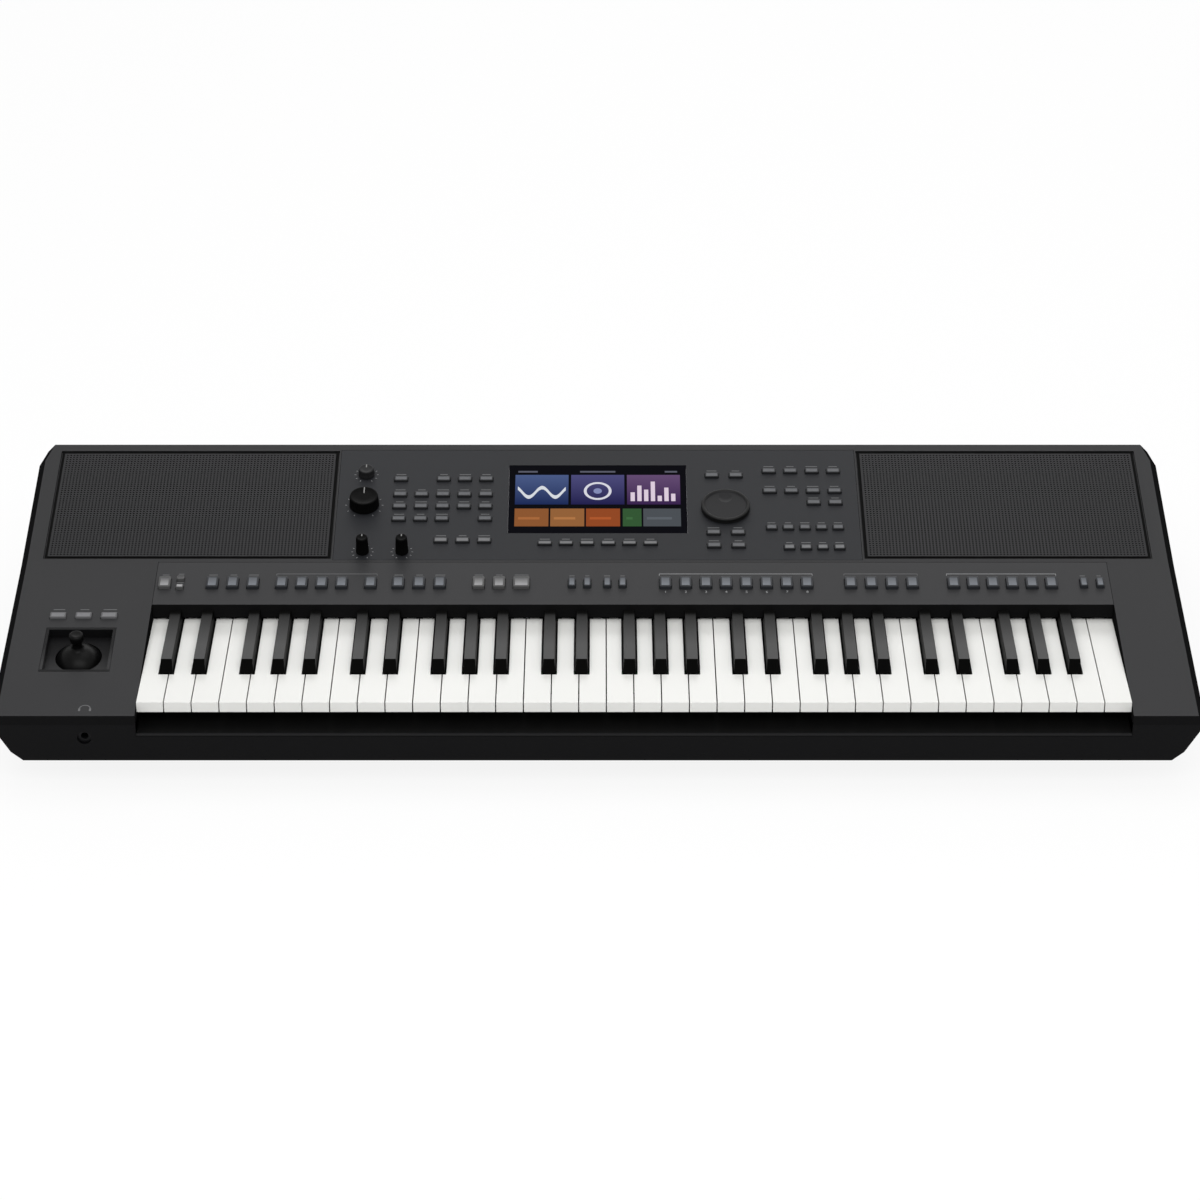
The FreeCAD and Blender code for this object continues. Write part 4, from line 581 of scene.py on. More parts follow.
def solid_boxes(node, matrix):
    """Low and high corners of every connected solid of a node, in the plane's coordinates."""
    work = bmesh.new()
    work.from_mesh(nodes[node].data)
    bmesh.ops.remove_doubles(work, verts=work.verts, dist=WELD_REACH)
    bmesh.ops.transform(work, matrix=matrix.inverted(), verts=work.verts)
    work.verts.ensure_lookup_table()
    seen = set()
    boxes = []
    for vert in work.verts:
        if vert.index in seen:
            continue
        seen.add(vert.index)
        front = [vert]
        spots = []
        while front:
            here = front.pop()
            spots.append(here.co.copy())
            for edge in here.link_edges:
                other = edge.other_vert(here)
                if other.index not in seen:
                    seen.add(other.index)
                    front.append(other)
        low = Vector([min(p[i] for p in spots) for i in range(3)])
        high = Vector([max(p[i] for p in spots) for i in range(3)])
        boxes.append((low, high))
    work.free()
    return sorted(boxes, key=lambda b: (round(-b[0].y, 4), b[0].x))


def span(low, high):
    """Middle and half size of a box, along its plane."""
    return ((low.x + high.x) / 2, (low.y + high.y) / 2), ((high.x - low.x) / 2, (high.y - low.y) / 2)


STRIP_GROUPS = (
    "tempo_buttons", "intro_buttons", "variation_buttons", "ending_buttons", "start_buttons",
    "transpose_buttons", "registration_buttons", "one_touch_buttons", "part_buttons", "octave_buttons",
)
PANEL_GROUPS = (
    "style_buttons", "song_buttons", "assign_buttons", "menu_buttons", "voice_buttons", "tone_buttons",
)
cap_places = {}
for group in (*STRIP_GROUPS, "mod_buttons", *PANEL_GROUPS):
    plane = PANEL if group in PANEL_GROUPS else STRIP
    cap_places[group] = []
    for low, high in solid_boxes(group, plane):
        middle, (half_x, half_v) = span(low, high)
        cap_places[group].append((middle, (half_x - FLANGE_RIM, half_v - FLANGE_RIM), low.z, high.z))
print("caps found:", sum(len(places) for places in cap_places.values()))

# %% [markdown]
# ## Button caps
# A cap is a small moulded tub with a window in its top. Rim and window could be two meshes, but a gap would
# show between them, so they are one mesh with two finishes: the rim is dark grey, and the window a paler,
# milky plastic with a faint painted glow, so it reads as a soft grey patch with a darker frame. Along the
# strip's row painted shade darkens the windows away from the player. The start and tempo caps are paler,
# and so are the lowest rows on the panel.

# %% Cap finishes
ROW_V = 181.5 * MM
ROW_Y = FRONT_EDGE.y + ROW_V * math.cos(STRIP_SLOPE)
ROW_SHADE_FADE = 11.0 * MM
CLOUD_SCALE = 260.0
CLOUD_SHARE = 0.12
MILKY_GRAIN_SCALE = 1800.0
CAP_GRAIN = 0.01 * MM


def milky(name, colour, glow, row=None, far_shade_share=0.42):
    """Light-scattering plastic with a faint painted glow. Along a row, painted shade darkens it away from the
    player.
    """
    # The emission is a painted glow; no lamp is built below the caps.
    finish = Finish(
        name, specular_ior_level=0.25, emission_strength=glow, emission_color=shade(colour, 1.0))
    cloud = finish.noise(CLOUD_SCALE, 2.0)
    grain = finish.noise(MILKY_GRAIN_SCALE, 1.0)
    tone = finish.mix(cloud, shade(colour, 1 - CLOUD_SHARE), shade(colour, 1 + CLOUD_SHARE))
    # Painted shade: darker away from the player along the row.
    if row is not None:
        tone = finish.mix((finish.along(1) - row) / ROW_SHADE_FADE + 0.5, tone, shade(colour, far_shade_share))
    finish.set(base_color=tone, roughness=0.3 + 0.2 * grain)
    finish.bump(grain, CAP_GRAIN, 0.5)
    return finish.material


strip_rim = grained("strip_cap_rim", (0.024, 0.026, 0.030), 0.4, CAP_GRAIN)
strip_window = milky("strip_cap_window", (0.148, 0.16, 0.18), 0.03, ROW_Y)
bright_rim = grained("start_cap_rim", (0.085, 0.085, 0.085), 0.4, CAP_GRAIN)
bright_window = milky("start_cap_window", (0.30, 0.30, 0.305), 0.02, ROW_Y, 0.16)
panel_rim = grained("panel_cap_rim", (0.014, 0.0145, 0.016), 0.42, CAP_GRAIN)
panel_window = milky("panel_cap_window", (0.094, 0.097, 0.104), 0.02)
pale_window = milky("pale_cap_window", (0.14, 0.142, 0.147), 0.02)
block_rim = grained("block_cap_rim", (0.11, 0.11, 0.114), 0.4, CAP_GRAIN)
block_window = milky("block_cap_window", (0.165, 0.165, 0.172), 0.03)
print("cap finishes made")

# %% Caps
CAP_CORNER = 1.1 * MM
LEAST_CORNER = 0.3 * MM
CAP_EDGE = 0.45 * MM
EDGE_BULGE = (0.13 * MM, 0.2 * MM)
WINDOW_SINK = 0.18 * MM
WINDOW_WALL = 0.15 * MM
WINDOW_INSET = 1.7 * MM
WINDOW_INSET_SHARE = 0.34
PALE_COUNTS = {"song_buttons": 3, "assign_buttons": 6, "tone_buttons": 4}
BRIGHT_GROUPS = ("start_buttons", "tempo_buttons")


def make_caps(group, rim, window, matrix, pale_count=0):
    """Caps of one group. The last ones, which are the lowest row, can have a paler window."""
    shell = Shell()
    first_pale = len(cap_places[group]) - pale_count
    for i, (middle, half, low, high) in enumerate(cap_places[group]):
        paint = 2 if i >= first_pale else 1
        inset = min(WINDOW_INSET, WINDOW_INSET_SHARE * min(half))
        profile = (
            (0, low), (0, high - CAP_EDGE), (EDGE_BULGE[0], high - EDGE_BULGE[1]), (CAP_EDGE, high),
            (inset, high), (inset + WINDOW_WALL, high - WINDOW_SINK),
        )
        rings = [
            soft_box(middle, (half[0] - cut, half[1] - cut), max(CAP_CORNER - cut, LEAST_CORNER), w)
            for cut, w in profile
        ]
        shell.stack(rings, (0, 0, 0, 0, paint), paint)
    materials = (rim, window, pale_window) if pale_count else (rim, window)
    settle(f"{group}_caps", shell, matrix, group, materials, (group,), 40)


for group in STRIP_GROUPS:
    if group in BRIGHT_GROUPS:
        make_caps(group, bright_rim, bright_window, STRIP)
    else:
        make_caps(group, strip_rim, strip_window, STRIP)
make_caps("mod_buttons", block_rim, block_window, STRIP)
for group in PANEL_GROUPS:
    make_caps(group, panel_rim, panel_window, PANEL, PALE_COUNTS.get(group, 0))
print("caps made")

# %% [markdown]
# ## Speaker grilles
# A grille is a steel sheet punched with thousands of small holes and painted dark. The punching is real
# geometry: every cell of a square grid holds an eight sided hole with walls and a black floor, so the sheet
# shades itself from any side. A narrow dark groove runs round the sheet and sets it off from the case.

# %% Grille sheets
HOLE_PITCH = 3.0 * MM
HOLE_RADIUS = 0.85 * MM
HOLE_DEPTH = 0.8 * MM
HOLE_TURNS = [math.pi / 8 + math.pi / 4 * k - 3 * math.pi / 4 for k in range(8)]
GROOVE = 2.6 * MM
GROOVE_DEPTH = 1.0 * MM
GRILLE_MARGIN = GROOVE + 1.2 * MM
PAINT_GRAIN = 0.01 * MM
grille_paint = grained("grille_paint", (0.0160, 0.0160, 0.0175), 0.5, PAINT_GRAIN)
hole_dark = grained("grille_hole_black", (0.009, 0.009, 0.0095), 0.9, PAINT_GRAIN, 0.1)
groove_dark = grained("grille_groove_black", (0.003, 0.003, 0.003), 0.8, PAINT_GRAIN, 0.05)


def punch(shell, corners, x, v, w):
    """One cell of the sheet between four corners, with an eight sided hole in its middle."""
    flat = [(x + HOLE_RADIUS * math.cos(t), v + HOLE_RADIUS * math.sin(t)) for t in HOLE_TURNS]
    lip = shell.ring([(a, b, w) for a, b in flat])
    foot = shell.ring([(a, b, w - HOLE_DEPTH) for a, b in flat])
    for side in range(4):
        a, b = corners[side], corners[(side + 1) % 4]
        first, second, third = lip[2 * side], lip[2 * side + 1], lip[(2 * side + 2) % 8]
        shell.face((a, b, second, first))
        shell.face((b, third, second))
    shell.bridge(lip, foot, 1)
    shell.face(tuple(foot), 1)


def edge_sheet(shell, grid, low, high):
    """The plain margin round the grid, the groove round that, and the sheet's sides and back."""
    middle, half = span(low, high)
    floor_w = high.z - GROOVE_DEPTH
    under, rim, trench, edge = [
        shell.ring([
            (middle[0] + sx * (half[0] - cut), middle[1] + sv * (half[1] - cut), w)
            for sx, sv in ((-1, -1), (1, -1), (1, 1), (-1, 1))
        ])
        for cut, w in ((0, low.z), (0, floor_w), (GROOVE, floor_w), (GROOVE, high.z))
    ]
    shell.face((edge[0], edge[1], *reversed(grid[0])))
    shell.face((edge[2], edge[3], *grid[-1]))
    shell.face((edge[1], edge[2], *[row[-1] for row in reversed(grid)]))
    shell.face((edge[3], edge[0], *[row[0] for row in grid]))
    shell.bridge(under, rim, 2)
    shell.bridge(rim, trench, 2)
    shell.bridge(trench, edge, 2)
    shell.face(tuple(reversed(under)), 2)


def make_grille(node):
    (low, high), = solid_boxes(node, PANEL)
    shell = Shell()
    field = (high.x - low.x - 2 * GRILLE_MARGIN, high.y - low.y - 2 * GRILLE_MARGIN)
    counts = (round(field[0] / HOLE_PITCH), round(field[1] / HOLE_PITCH))
    steps = (field[0] / counts[0], field[1] / counts[1])
    start = (low.x + GRILLE_MARGIN, low.y + GRILLE_MARGIN)
    grid = [
        shell.ring([(start[0] + i * steps[0], start[1] + j * steps[1], high.z) for i in range(counts[0] + 1)])
        for j in range(counts[1] + 1)
    ]
    for j in range(counts[1]):
        for i in range(counts[0]):
            corners = (grid[j][i], grid[j][i + 1], grid[j + 1][i + 1], grid[j + 1][i])
            punch(shell, corners, start[0] + (i + 0.5) * steps[0], start[1] + (j + 0.5) * steps[1], high.z)
    edge_sheet(shell, grid, low, high)
    materials = (grille_paint, hole_dark, groove_dark)
    settle(f"{node}_sheet", shell, PANEL, "case", materials, (node,), 20)
    return counts


for node in ("grille_left", "grille_right"):
    print(node, "holes:", make_grille(node))

# %% [markdown]
# ## Knobs
# A turned knob alone looks like a peg. The real ones are gripped by fine ribs round the side and have a
# pointer line that shows where they stand. The ribs are a wave in the radius of each ring, fading out into
# the smooth top edge. The small knob at the back is of the dial's greyer plastic.

# %% Knob meshes
POINTER_GRAIN = 0.005 * MM
RIB_DEPTH = 0.32 * MM
KNOB_LIFT = 0.5 * MM
SHAFT_RADIUS = 3 * MM
SHAFT_HOLD = 0.2 * MM
POINTER_HALF = 0.45 * MM
POINTER_START_SHARE = 0.3
POINTER_END = 1.0 * MM
POINTER_SINK = 0.1 * MM
POINTER_RISE = 0.02 * MM
KNOB_TAPER = 0.8 * MM
pointer_white = grained("pointer_paint", (0.27, 0.27, 0.265), 0.45, POINTER_GRAIN)


def ribbed(middle, radius, w, ribs, depth, per_rib=6):
    points = []
    for i in range(ribs * per_rib):
        turn = 2 * math.pi * i / (ribs * per_rib)
        reach = radius - depth * (0.5 - 0.5 * math.cos(turn * ribs)) ** 2
        points.append((middle[0] + reach * math.cos(turn), middle[1] + reach * math.sin(turn), w))
    return points


def add_shaft(shell, middle, foot):
    shell.stack([circle(middle, SHAFT_RADIUS, w, 24) for w in (foot, KNOB_LIFT + SHAFT_HOLD)])


def make_knob(node, ribs, cap_dish, paint=0):
    (low, high), = solid_boxes(node, PANEL)
    middle, (radius, _) = span(low, high)
    crown = radius - KNOB_TAPER
    top = high.z
    shell = Shell()
    profile = (
        (radius - 0.5 * MM, KNOB_LIFT, 0), (radius, KNOB_LIFT + 0.35 * MM, 0),
        (radius, KNOB_LIFT + 1.3 * MM, 0), (radius - 0.1 * MM, KNOB_LIFT + 1.8 * MM, RIB_DEPTH),
        (crown + 0.15 * MM, top - 1.4 * MM, RIB_DEPTH), (crown, top - 0.8 * MM, 0),
        (crown - 0.25 * MM, top - 0.25 * MM, 0), (crown - 0.8 * MM, top, 0),
        (crown - 1.6 * MM, top, 0), (crown - 2.2 * MM, top - cap_dish, 0),
        ((crown - 2.2 * MM) * 0.5, top - cap_dish, 0),
    )
    paints = [paint] * (len(profile) - 1)
    shell.stack([ribbed(middle, r, w, ribs, depth) for r, w, depth in profile], paints, paint)
    add_shaft(shell, middle, low.z)
    shell.block(
        (middle[0] - POINTER_HALF, middle[1] + crown * POINTER_START_SHARE, top - cap_dish - POINTER_SINK),
        (middle[0] + POINTER_HALF, middle[1] + crown - POINTER_END, top + POINTER_RISE), 1)
    materials = (knob_plastic, pointer_white, dial_plastic)
    settle(f"{node}_grip", shell, PANEL, node, materials, (node,), 38)


for node, ribs, cap_dish, paint in (
    ("volume_knob", 40, 0.35 * MM, 0), ("gain_knob", 26, 0.3 * MM, 2),
    ("live_knob_left", 24, 0.3 * MM, 0), ("live_knob_right", 24, 0.3 * MM, 0),
):
    make_knob(node, ribs, cap_dish, paint)
print("knobs made")

# %% [markdown]
# ## The data dial
# The wide dial turns without end. Its top is a shallow dish with a round dimple near the edge for a
# fingertip, and a milled rim. The rim and sides are darker than the top: painted shade, as in the gap round
# the dial. Cutting the dimple with a ball would leave ragged faces round it, so the points of a fine polar
# grid are pushed down instead.

# %% Dial mesh
DIAL_RINGS = 26
DIAL_COUNT = 160
DIMPLE_PLACE_SHARE = 0.58
DIMPLE_RADIUS = 6.2 * MM
DIMPLE_DEPTH = 1.3 * MM
BOWL_DEPTH = 0.25 * MM
DISH_DEPTH = 1.1 * MM
RIM_WIDTH = 3.6 * MM
MILLING = 0.35 * MM


def make_dial(node):
    (low, high), = solid_boxes(node, PANEL)
    middle, (radius, _) = span(low, high)
    top = high.z
    dish = top - DISH_DEPTH
    rim = radius - RIM_WIDTH
    dimple = (middle[0], middle[1] + DIMPLE_PLACE_SHARE * rim)
    shell = Shell()
    rings = [
        ribbed(middle, r, w, DIAL_COUNT // 2, depth, 2)
        for r, w, depth in (
            (radius - 0.6 * MM, KNOB_LIFT, 0), (radius, KNOB_LIFT + 0.4 * MM, 0),
            (radius, KNOB_LIFT + 0.9 * MM, MILLING), (radius, top - 1.5 * MM, MILLING),
            (radius - 0.1 * MM, top - 1.0 * MM, 0), (radius - 0.4 * MM, top - 0.35 * MM, 0),
            (radius - 1.1 * MM, top, 0), (radius - 2.4 * MM, top, 0), (radius - 3.1 * MM, top - 0.4 * MM, 0),
        )
    ]
    sides = len(rings) - 1
    for step in range(DIAL_RINGS):
        reach = rim * (1 - step / DIAL_RINGS)
        ring = []
        for x, v, w in circle(middle, reach, dish, DIAL_COUNT):
            away = math.hypot(x - dimple[0], v - dimple[1]) / DIMPLE_RADIUS
            sink = DIMPLE_DEPTH * (1 - away * away) if away < 1 else 0
            bowl = BOWL_DEPTH * (1 - (reach / rim) ** 2)
            ring.append((x, v, w - sink - bowl))
        rings.append(ring)
    shell.stack(rings, [1] * sides + [0] * DIAL_RINGS)
    add_shaft(shell, middle, low.z)
    settle(f"{node}_wheel", shell, PANEL, node, (dial_plastic, dial_side_shade), (node,), 50)


make_dial("data_dial")
print("dial made")

# %% [markdown]
# ## The joystick
# Two pieces tilt here: a ring about one axis and the stick in it about the other. The stick is a turned
# shape: a dome that hides the hole in the well's floor, a waisted stem and a broad, slightly hollow cap.
# The outline is drawn as pairs of radius and height and turned into rings, as a lathe would turn it.

# %% Joystick stick
STICK_PLACE = (-450 * MM, 89.5 * MM)
PIVOT_DROP = -20.5 * MM
DOME_RADIUS = 22 * MM
PIN_REACH = 24.6 * MM
PIN_RADIUS = 1.5 * MM
STICK_GRAIN = 0.012 * MM
stick_plastic = grained("stick_plastic", (0.002, 0.002, 0.002), 0.36, STICK_GRAIN, 0.08)


def make_stick():
    shell = Shell()
    profile = [(DOME_RADIUS * math.cos(t), PIVOT_DROP + DOME_RADIUS * math.sin(t))
               for t in [math.radians(a) for a in range(2, 73, 5)]]
    profile += [
        (5.6 * MM, 1.35 * MM), (4.7 * MM, 2.2 * MM), (4.2 * MM, 4.0 * MM), (4.2 * MM, 7.2 * MM),
        (4.7 * MM, 8.9 * MM), (5.7 * MM, 9.8 * MM), (6.15 * MM, 10.8 * MM), (6.2 * MM, 14.6 * MM),
        (5.95 * MM, 16.0 * MM), (5.3 * MM, 16.8 * MM), (4.4 * MM, 17.0 * MM), (3.0 * MM, 16.7 * MM),
        (1.5 * MM, 16.45 * MM),
    ]
    shell.stack([circle(STICK_PLACE, r, w, 56) for r, w in profile])
    pin = circle((STICK_PLACE[1], PIVOT_DROP), PIN_RADIUS, 0, 20)
    shell.stack([[(STICK_PLACE[0] + x, v, w) for v, w, _ in pin] for x in (-PIN_REACH, PIN_REACH)])
    settle(
        "joystick_handle", shell, STRIP, "joystick_lever", (stick_plastic,),
        ("joystick_lever",), 50)


make_stick()
print("stick made")

# %% [markdown]
# ## The display
# The glass lies flush in the panel and the picture glows behind it. A picture file would do, but masks stay
# sharp from near by, so the picture is drawn in the glass's own finish: a mask is one between two limits and
# nought elsewhere, and each mix lays one flat tile over what is there. It is a made-up page: three tall tiles
# with a wave, a ring and level bars over a row of orange, green and grey tabs.

# %% Display finish
GLASS_HALF = 81 * MM
GLASS_LOW = 40 * MM
GLASS_HEIGHT = 96 * MM
TILE_LOW, TILE_HIGH = 0.42, 0.86
TAB_LOW, TAB_HIGH = 0.10, 0.36
LINE_LOW, LINE_HIGH = 0.20, 0.235
STATUS_LOW, STATUS_HIGH = 0.895, 0.92
CREST_MIDDLE, CREST_HEIGHT, CREST_TURNS, CREST_HALF = 0.60, 0.07, 42.0, 0.026
RING_MIDDLE, RING_INNER, RING_OUTER, RING_EYE = 0.62, 0.105, 0.132, 0.04
GLASS_RATIO = 1.69
BAR_LEFT, BAR_PITCH, BAR_WIDTH, BAR_FOOT = 0.685, 0.038, 0.024, 0.47
BAR_LEVELS = (0.60, 0.70, 0.64, 0.76, 0.55, 0.67, 0.58)


def display_finish():
    finish = Finish(
        "display_glass", base_color=(0.0015, 0.0015, 0.002, 1), specular_ior_level=0.012,
        emission_strength=0.75)
    u = (finish.along(0) + GLASS_HALF) / (2 * GLASS_HALF)
    t = ((finish.along(1) - CREASE.y) / math.cos(PANEL_SLOPE) - GLASS_LOW) / GLASS_HEIGHT
    picture = (0.001, 0.001, 0.003, 1)

    def within(value, low, high):
        return (value > low) * (value < high)

    def tile(picture, box, colour):
        u0, u1, t0, t1 = box
        return finish.mix(within(u, u0, u1) * within(t, t0, t1), picture, colour)

    def worked(kind, value):
        return finish.node("ShaderNodeMath", {"operation": kind}, {0: value})

    for left, right, low, high in (
        (0.035, 0.335, (0.011, 0.026, 0.12, 1), (0.086, 0.132, 0.31, 1)),
        (0.35, 0.65, (0.016, 0.014, 0.093, 1), (0.093, 0.089, 0.255, 1)),
        (0.665, 0.965, (0.048, 0.017, 0.093, 1), (0.163, 0.089, 0.215, 1)),
    ):
        blend = finish.mix((t - TILE_LOW) / (TILE_HIGH - TILE_LOW), low, high)
        picture = tile(picture, (left, right, TILE_LOW, TILE_HIGH), blend)
    crest = CREST_MIDDLE + CREST_HEIGHT * worked("SINE", u * CREST_TURNS)
    band = worked("ABSOLUTE", t - crest) < CREST_HALF
    picture = finish.mix(band * within(u, 0.05, 0.32), picture, (0.90, 0.94, 1.0, 1))
    across = (u - 0.5) * GLASS_RATIO
    up = t - RING_MIDDLE
    ring_reach = worked("SQRT", across * across + up * up)
    picture = finish.mix(within(ring_reach, RING_INNER, RING_OUTER), picture, (0.90, 0.90, 1.0, 1))
    picture = finish.mix(ring_reach < RING_EYE, picture, (0.30, 0.34, 0.62, 1))
    for i, level in enumerate(BAR_LEVELS):
        left = BAR_LEFT + BAR_PITCH * i
        picture = tile(picture, (left, left + BAR_WIDTH, BAR_FOOT, level), (0.95, 0.80, 0.95, 1))
    tabs = (
        (0.035, 0.225, (0.34, 0.12, 0.036, 1)), (0.235, 0.425, (0.38, 0.155, 0.05, 1)),
        (0.435, 0.625, (0.37, 0.082, 0.02, 1)), (0.64, 0.745, (0.041, 0.12, 0.041, 1)),
        (0.755, 0.965, (0.09, 0.102, 0.116, 1)),
    )
    for left, right, colour in tabs:
        picture = tile(picture, (left, right, TAB_LOW, TAB_HIGH), colour)
        picture = tile(picture, (left + 0.02, right - 0.05, LINE_LOW, LINE_HIGH), shade(colour, 1.5))
    for left, right in ((0.05, 0.16), (0.40, 0.60), (0.88, 0.95)):
        picture = tile(picture, (left, right, STATUS_LOW, STATUS_HIGH), (0.13, 0.136, 0.18, 1))
    finish.set(emission_color=picture)
    smear = finish.noise(30.0, 3.0)
    finish.set(roughness=0.08 + 0.1 * smear)
    return finish.material


dress("display_glass", display_finish(), 0.25 * MM)
print("display made")

# %% [markdown]
# ## Printed marks
# The panel is printed in pale ink: a thin dash stands over each cap, fine lines bracket the groups, ticks
# ring the knobs and plain numbers count the eight memory caps. Marks could be drawn in the panel's finish,
# but there would be a mask for each. So each mark is a plate a few hundredths of a millimetre thick that
# lies on the plastic, as ink does.

# %% Mark helpers
INK = 0.035 * MM
INK_SINK = 0.02 * MM
TICK_HALF = 0.22 * MM
INK_GRAIN = 0.004 * MM
ink_pale = grained("ink_pale", (0.34, 0.345, 0.35), 0.6, INK_GRAIN)
ink_dim = grained("ink_dim", (0.15, 0.152, 0.155), 0.6, INK_GRAIN)


def dash(shell, x, v, half_x, half_v, paint=0):
    shell.block((x - half_x, v - half_v, -INK_SINK), (x + half_x, v + half_v, INK), paint)


def ticks(shell, middle, inner, outer, count=11, sweep=300):
    for i in range(count):
        turn = math.radians(90 + sweep / 2 - sweep * i / (count - 1))
        side = Vector((-math.sin(turn), math.cos(turn))) * TICK_HALF
        ends = [Vector(middle) + Vector((math.cos(turn), math.sin(turn))) * r for r in (inner, outer)]
        base = [ends[0] - side, ends[1] - side, ends[1] + side, ends[0] + side]
        shell.stack([[(p.x, p.y, w) for p in base] for w in (-INK_SINK, INK)])


def number_plate(shell, text, x, v, size):
    """Add one printed number as a thin closed plate."""
    curve = bpy.data.curves.new("number", "FONT")
    curve.body = text
    curve.size = size
    curve.align_x = "CENTER"
    curve.resolution_u = 4
    curve.extrude = INK / 2
    holder = bpy.data.objects.new("number", curve)
    mesh = bpy.data.meshes.new_from_object(holder)
    work = bmesh.new()
    work.from_mesh(mesh)
    bmesh.ops.remove_doubles(work, verts=work.verts, dist=INK / 10)
    work.verts.index_update()
    start = len(shell.points)
    shell.points += [(p.co.x + x, p.co.y + v, p.co.z + INK / 2) for p in work.verts]
    for face in work.faces:
        shell.face(tuple(start + corner.index for corner in face.verts))
    work.free()
    bpy.data.objects.remove(holder)
    bpy.data.curves.remove(curve)
    bpy.data.meshes.remove(mesh)


print("ink", INK / MM, "mm thick")

# %% Dashes and numbers
PALE_BRACKETS = ("registration_buttons", "part_buttons")
BRACKETED = (*PALE_BRACKETS, "one_touch_buttons", "variation_buttons")
DASH_SHARES = (0.72, 0.55, 0.84, 0.62)
DASH_HALF = 0.42 * MM
PANEL_GAP = 4.0 * MM
STRIP_GAP = 5.6 * MM
NUMBER_GAP = 5.4 * MM
NUMBER_SIZE = 4.2 * MM
panel_marks = Shell()
strip_marks = Shell()
for group, places in cap_places.items():
    if group in BRACKETED:
        continue
    shell, gap = (panel_marks, PANEL_GAP) if group in PANEL_GROUPS else (strip_marks, STRIP_GAP)
    for i, (middle, half, _, _) in enumerate(places):
        half_x = half[0] * DASH_SHARES[i % len(DASH_SHARES)]
        dash(shell, middle[0], middle[1] + half[1] + gap, half_x, DASH_HALF, 1)
for i, (middle, half, _, _) in enumerate(cap_places["registration_buttons"]):
    number_plate(strip_marks, str(i + 1), middle[0], middle[1] - half[1] - NUMBER_GAP, NUMBER_SIZE)
print("dashes and numbers drawn")

# %% Brackets
BRACKET_GAP = 7.2 * MM
BRACKET_HALF = 0.3 * MM
BRACKET_LEG = 1.2 * MM
LEG_HALF = 0.2 * MM
for group in BRACKETED:
    places = cap_places[group]
    left = places[0][0][0] - places[0][1][0]
    right = places[-1][0][0] + places[-1][1][0]
    v = places[0][0][1] + places[0][1][1] + BRACKET_GAP
    paint = 0 if group in PALE_BRACKETS else 1
    dash(strip_marks, (left + right) / 2, v, (right - left) / 2, BRACKET_HALF, paint)
    for x in (left, right):
        dash(strip_marks, x, v - BRACKET_LEG, LEG_HALF, BRACKET_LEG, paint)
print("brackets drawn:", len(BRACKETED))

# %% Ticks, and the two printed plates
TICK_LENGTH = 1.5 * MM
for node, spread in (
    ("volume_knob", 2.2 * MM), ("gain_knob", 2.0 * MM),
    ("live_knob_left", 2.6 * MM), ("live_knob_right", 2.6 * MM),
):
    (low, high), = solid_boxes(node, PANEL)
    middle, (reach, _) = span(low, high)
    ticks(panel_marks, middle, reach + spread, reach + spread + TICK_LENGTH)
settle("panel_print", panel_marks, PANEL, "case", (ink_pale, ink_dim))
settle("strip_print", strip_marks, STRIP, "case", (ink_pale, ink_dim))
print("mark faces:", len(panel_marks.faces) + len(strip_marks.faces))

# %% [markdown]
# ## Sockets and the headphone mark
# Each round socket has a thin bright washer round its mouth, and each flat one a liner of bent sheet. The
# frame's record names their places, so nothing is measured twice. A small arc with two pads on the left
# block stands for headphones, right above their socket.

# %% Socket metal
REAR_EDGE = 215 * MM
LINER_DEPTH = 8.0 * MM
LINER_WALL = 0.3 * MM
LINER_GAP = 0.05 * MM
LINER_SINK = 0.1 * MM
LINER_CORNER = 0.4 * MM
WASHER_GAP = 0.15 * MM
WASHER_WIDTH = 1.7 * MM
WASHER_DEPTH = 1.2 * MM
WASHER_CHAMFER = 0.3 * MM


def collar(shell, loops):
    """Bridge loops of points into a tube with a wall."""
    made = [shell.ring(points) for points in loops]
    for i in range(len(made)):
        shell.bridge(made[i], made[(i + 1) % len(made)])


socket_shell = Shell()
sockets = []
round_mounts = [m for m in frame["record"]["mounts"] if m["kind"] == "bore" and m["axis"][1] > 0]
for mount in round_mounts:
    x, _, z = mount["pos_m"]
    sockets.append((x, z))
    inner = mount["dims"]["r_mm"] * MM + WASHER_GAP
    outer = inner + WASHER_WIDTH
    collar(socket_shell, [
        [(a, w, b) for a, b, _ in circle((x, z), r, 0, 48)]
        for r, w in (
            (inner, REAR_EDGE - WASHER_DEPTH), (inner, REAR_EDGE - WASHER_CHAMFER),
            (inner + WASHER_CHAMFER, REAR_EDGE + INK), (outer, REAR_EDGE + INK),
            (outer, REAR_EDGE - WASHER_DEPTH),
        )
    ])
for opening in frame["record"]["physics"]["openings"]:
    low, high = opening["box_m"]
    middle = ((low[0] + high[0]) / 2, (low[2] + high[2]) / 2)
    sockets.append(middle)
    inner = ((high[0] - low[0]) / 2 + LINER_GAP, (high[2] - low[2]) / 2 + LINER_GAP)
    outer = (inner[0] + LINER_WALL, inner[1] + LINER_WALL)
    collar(socket_shell, [
        [(a, REAR_EDGE - drop, b) for a, b, _ in soft_box(middle, half, LINER_CORNER, 0)]
        for half, drop in (
            (inner, LINER_DEPTH), (inner, LINER_SINK), (outer, LINER_SINK), (outer, LINER_DEPTH),
        )
    ])
settle("socket_metal", socket_shell, Matrix.Identity(4), "case", (ring_nickel,), smooth=40)
print("sockets:", len(sockets))

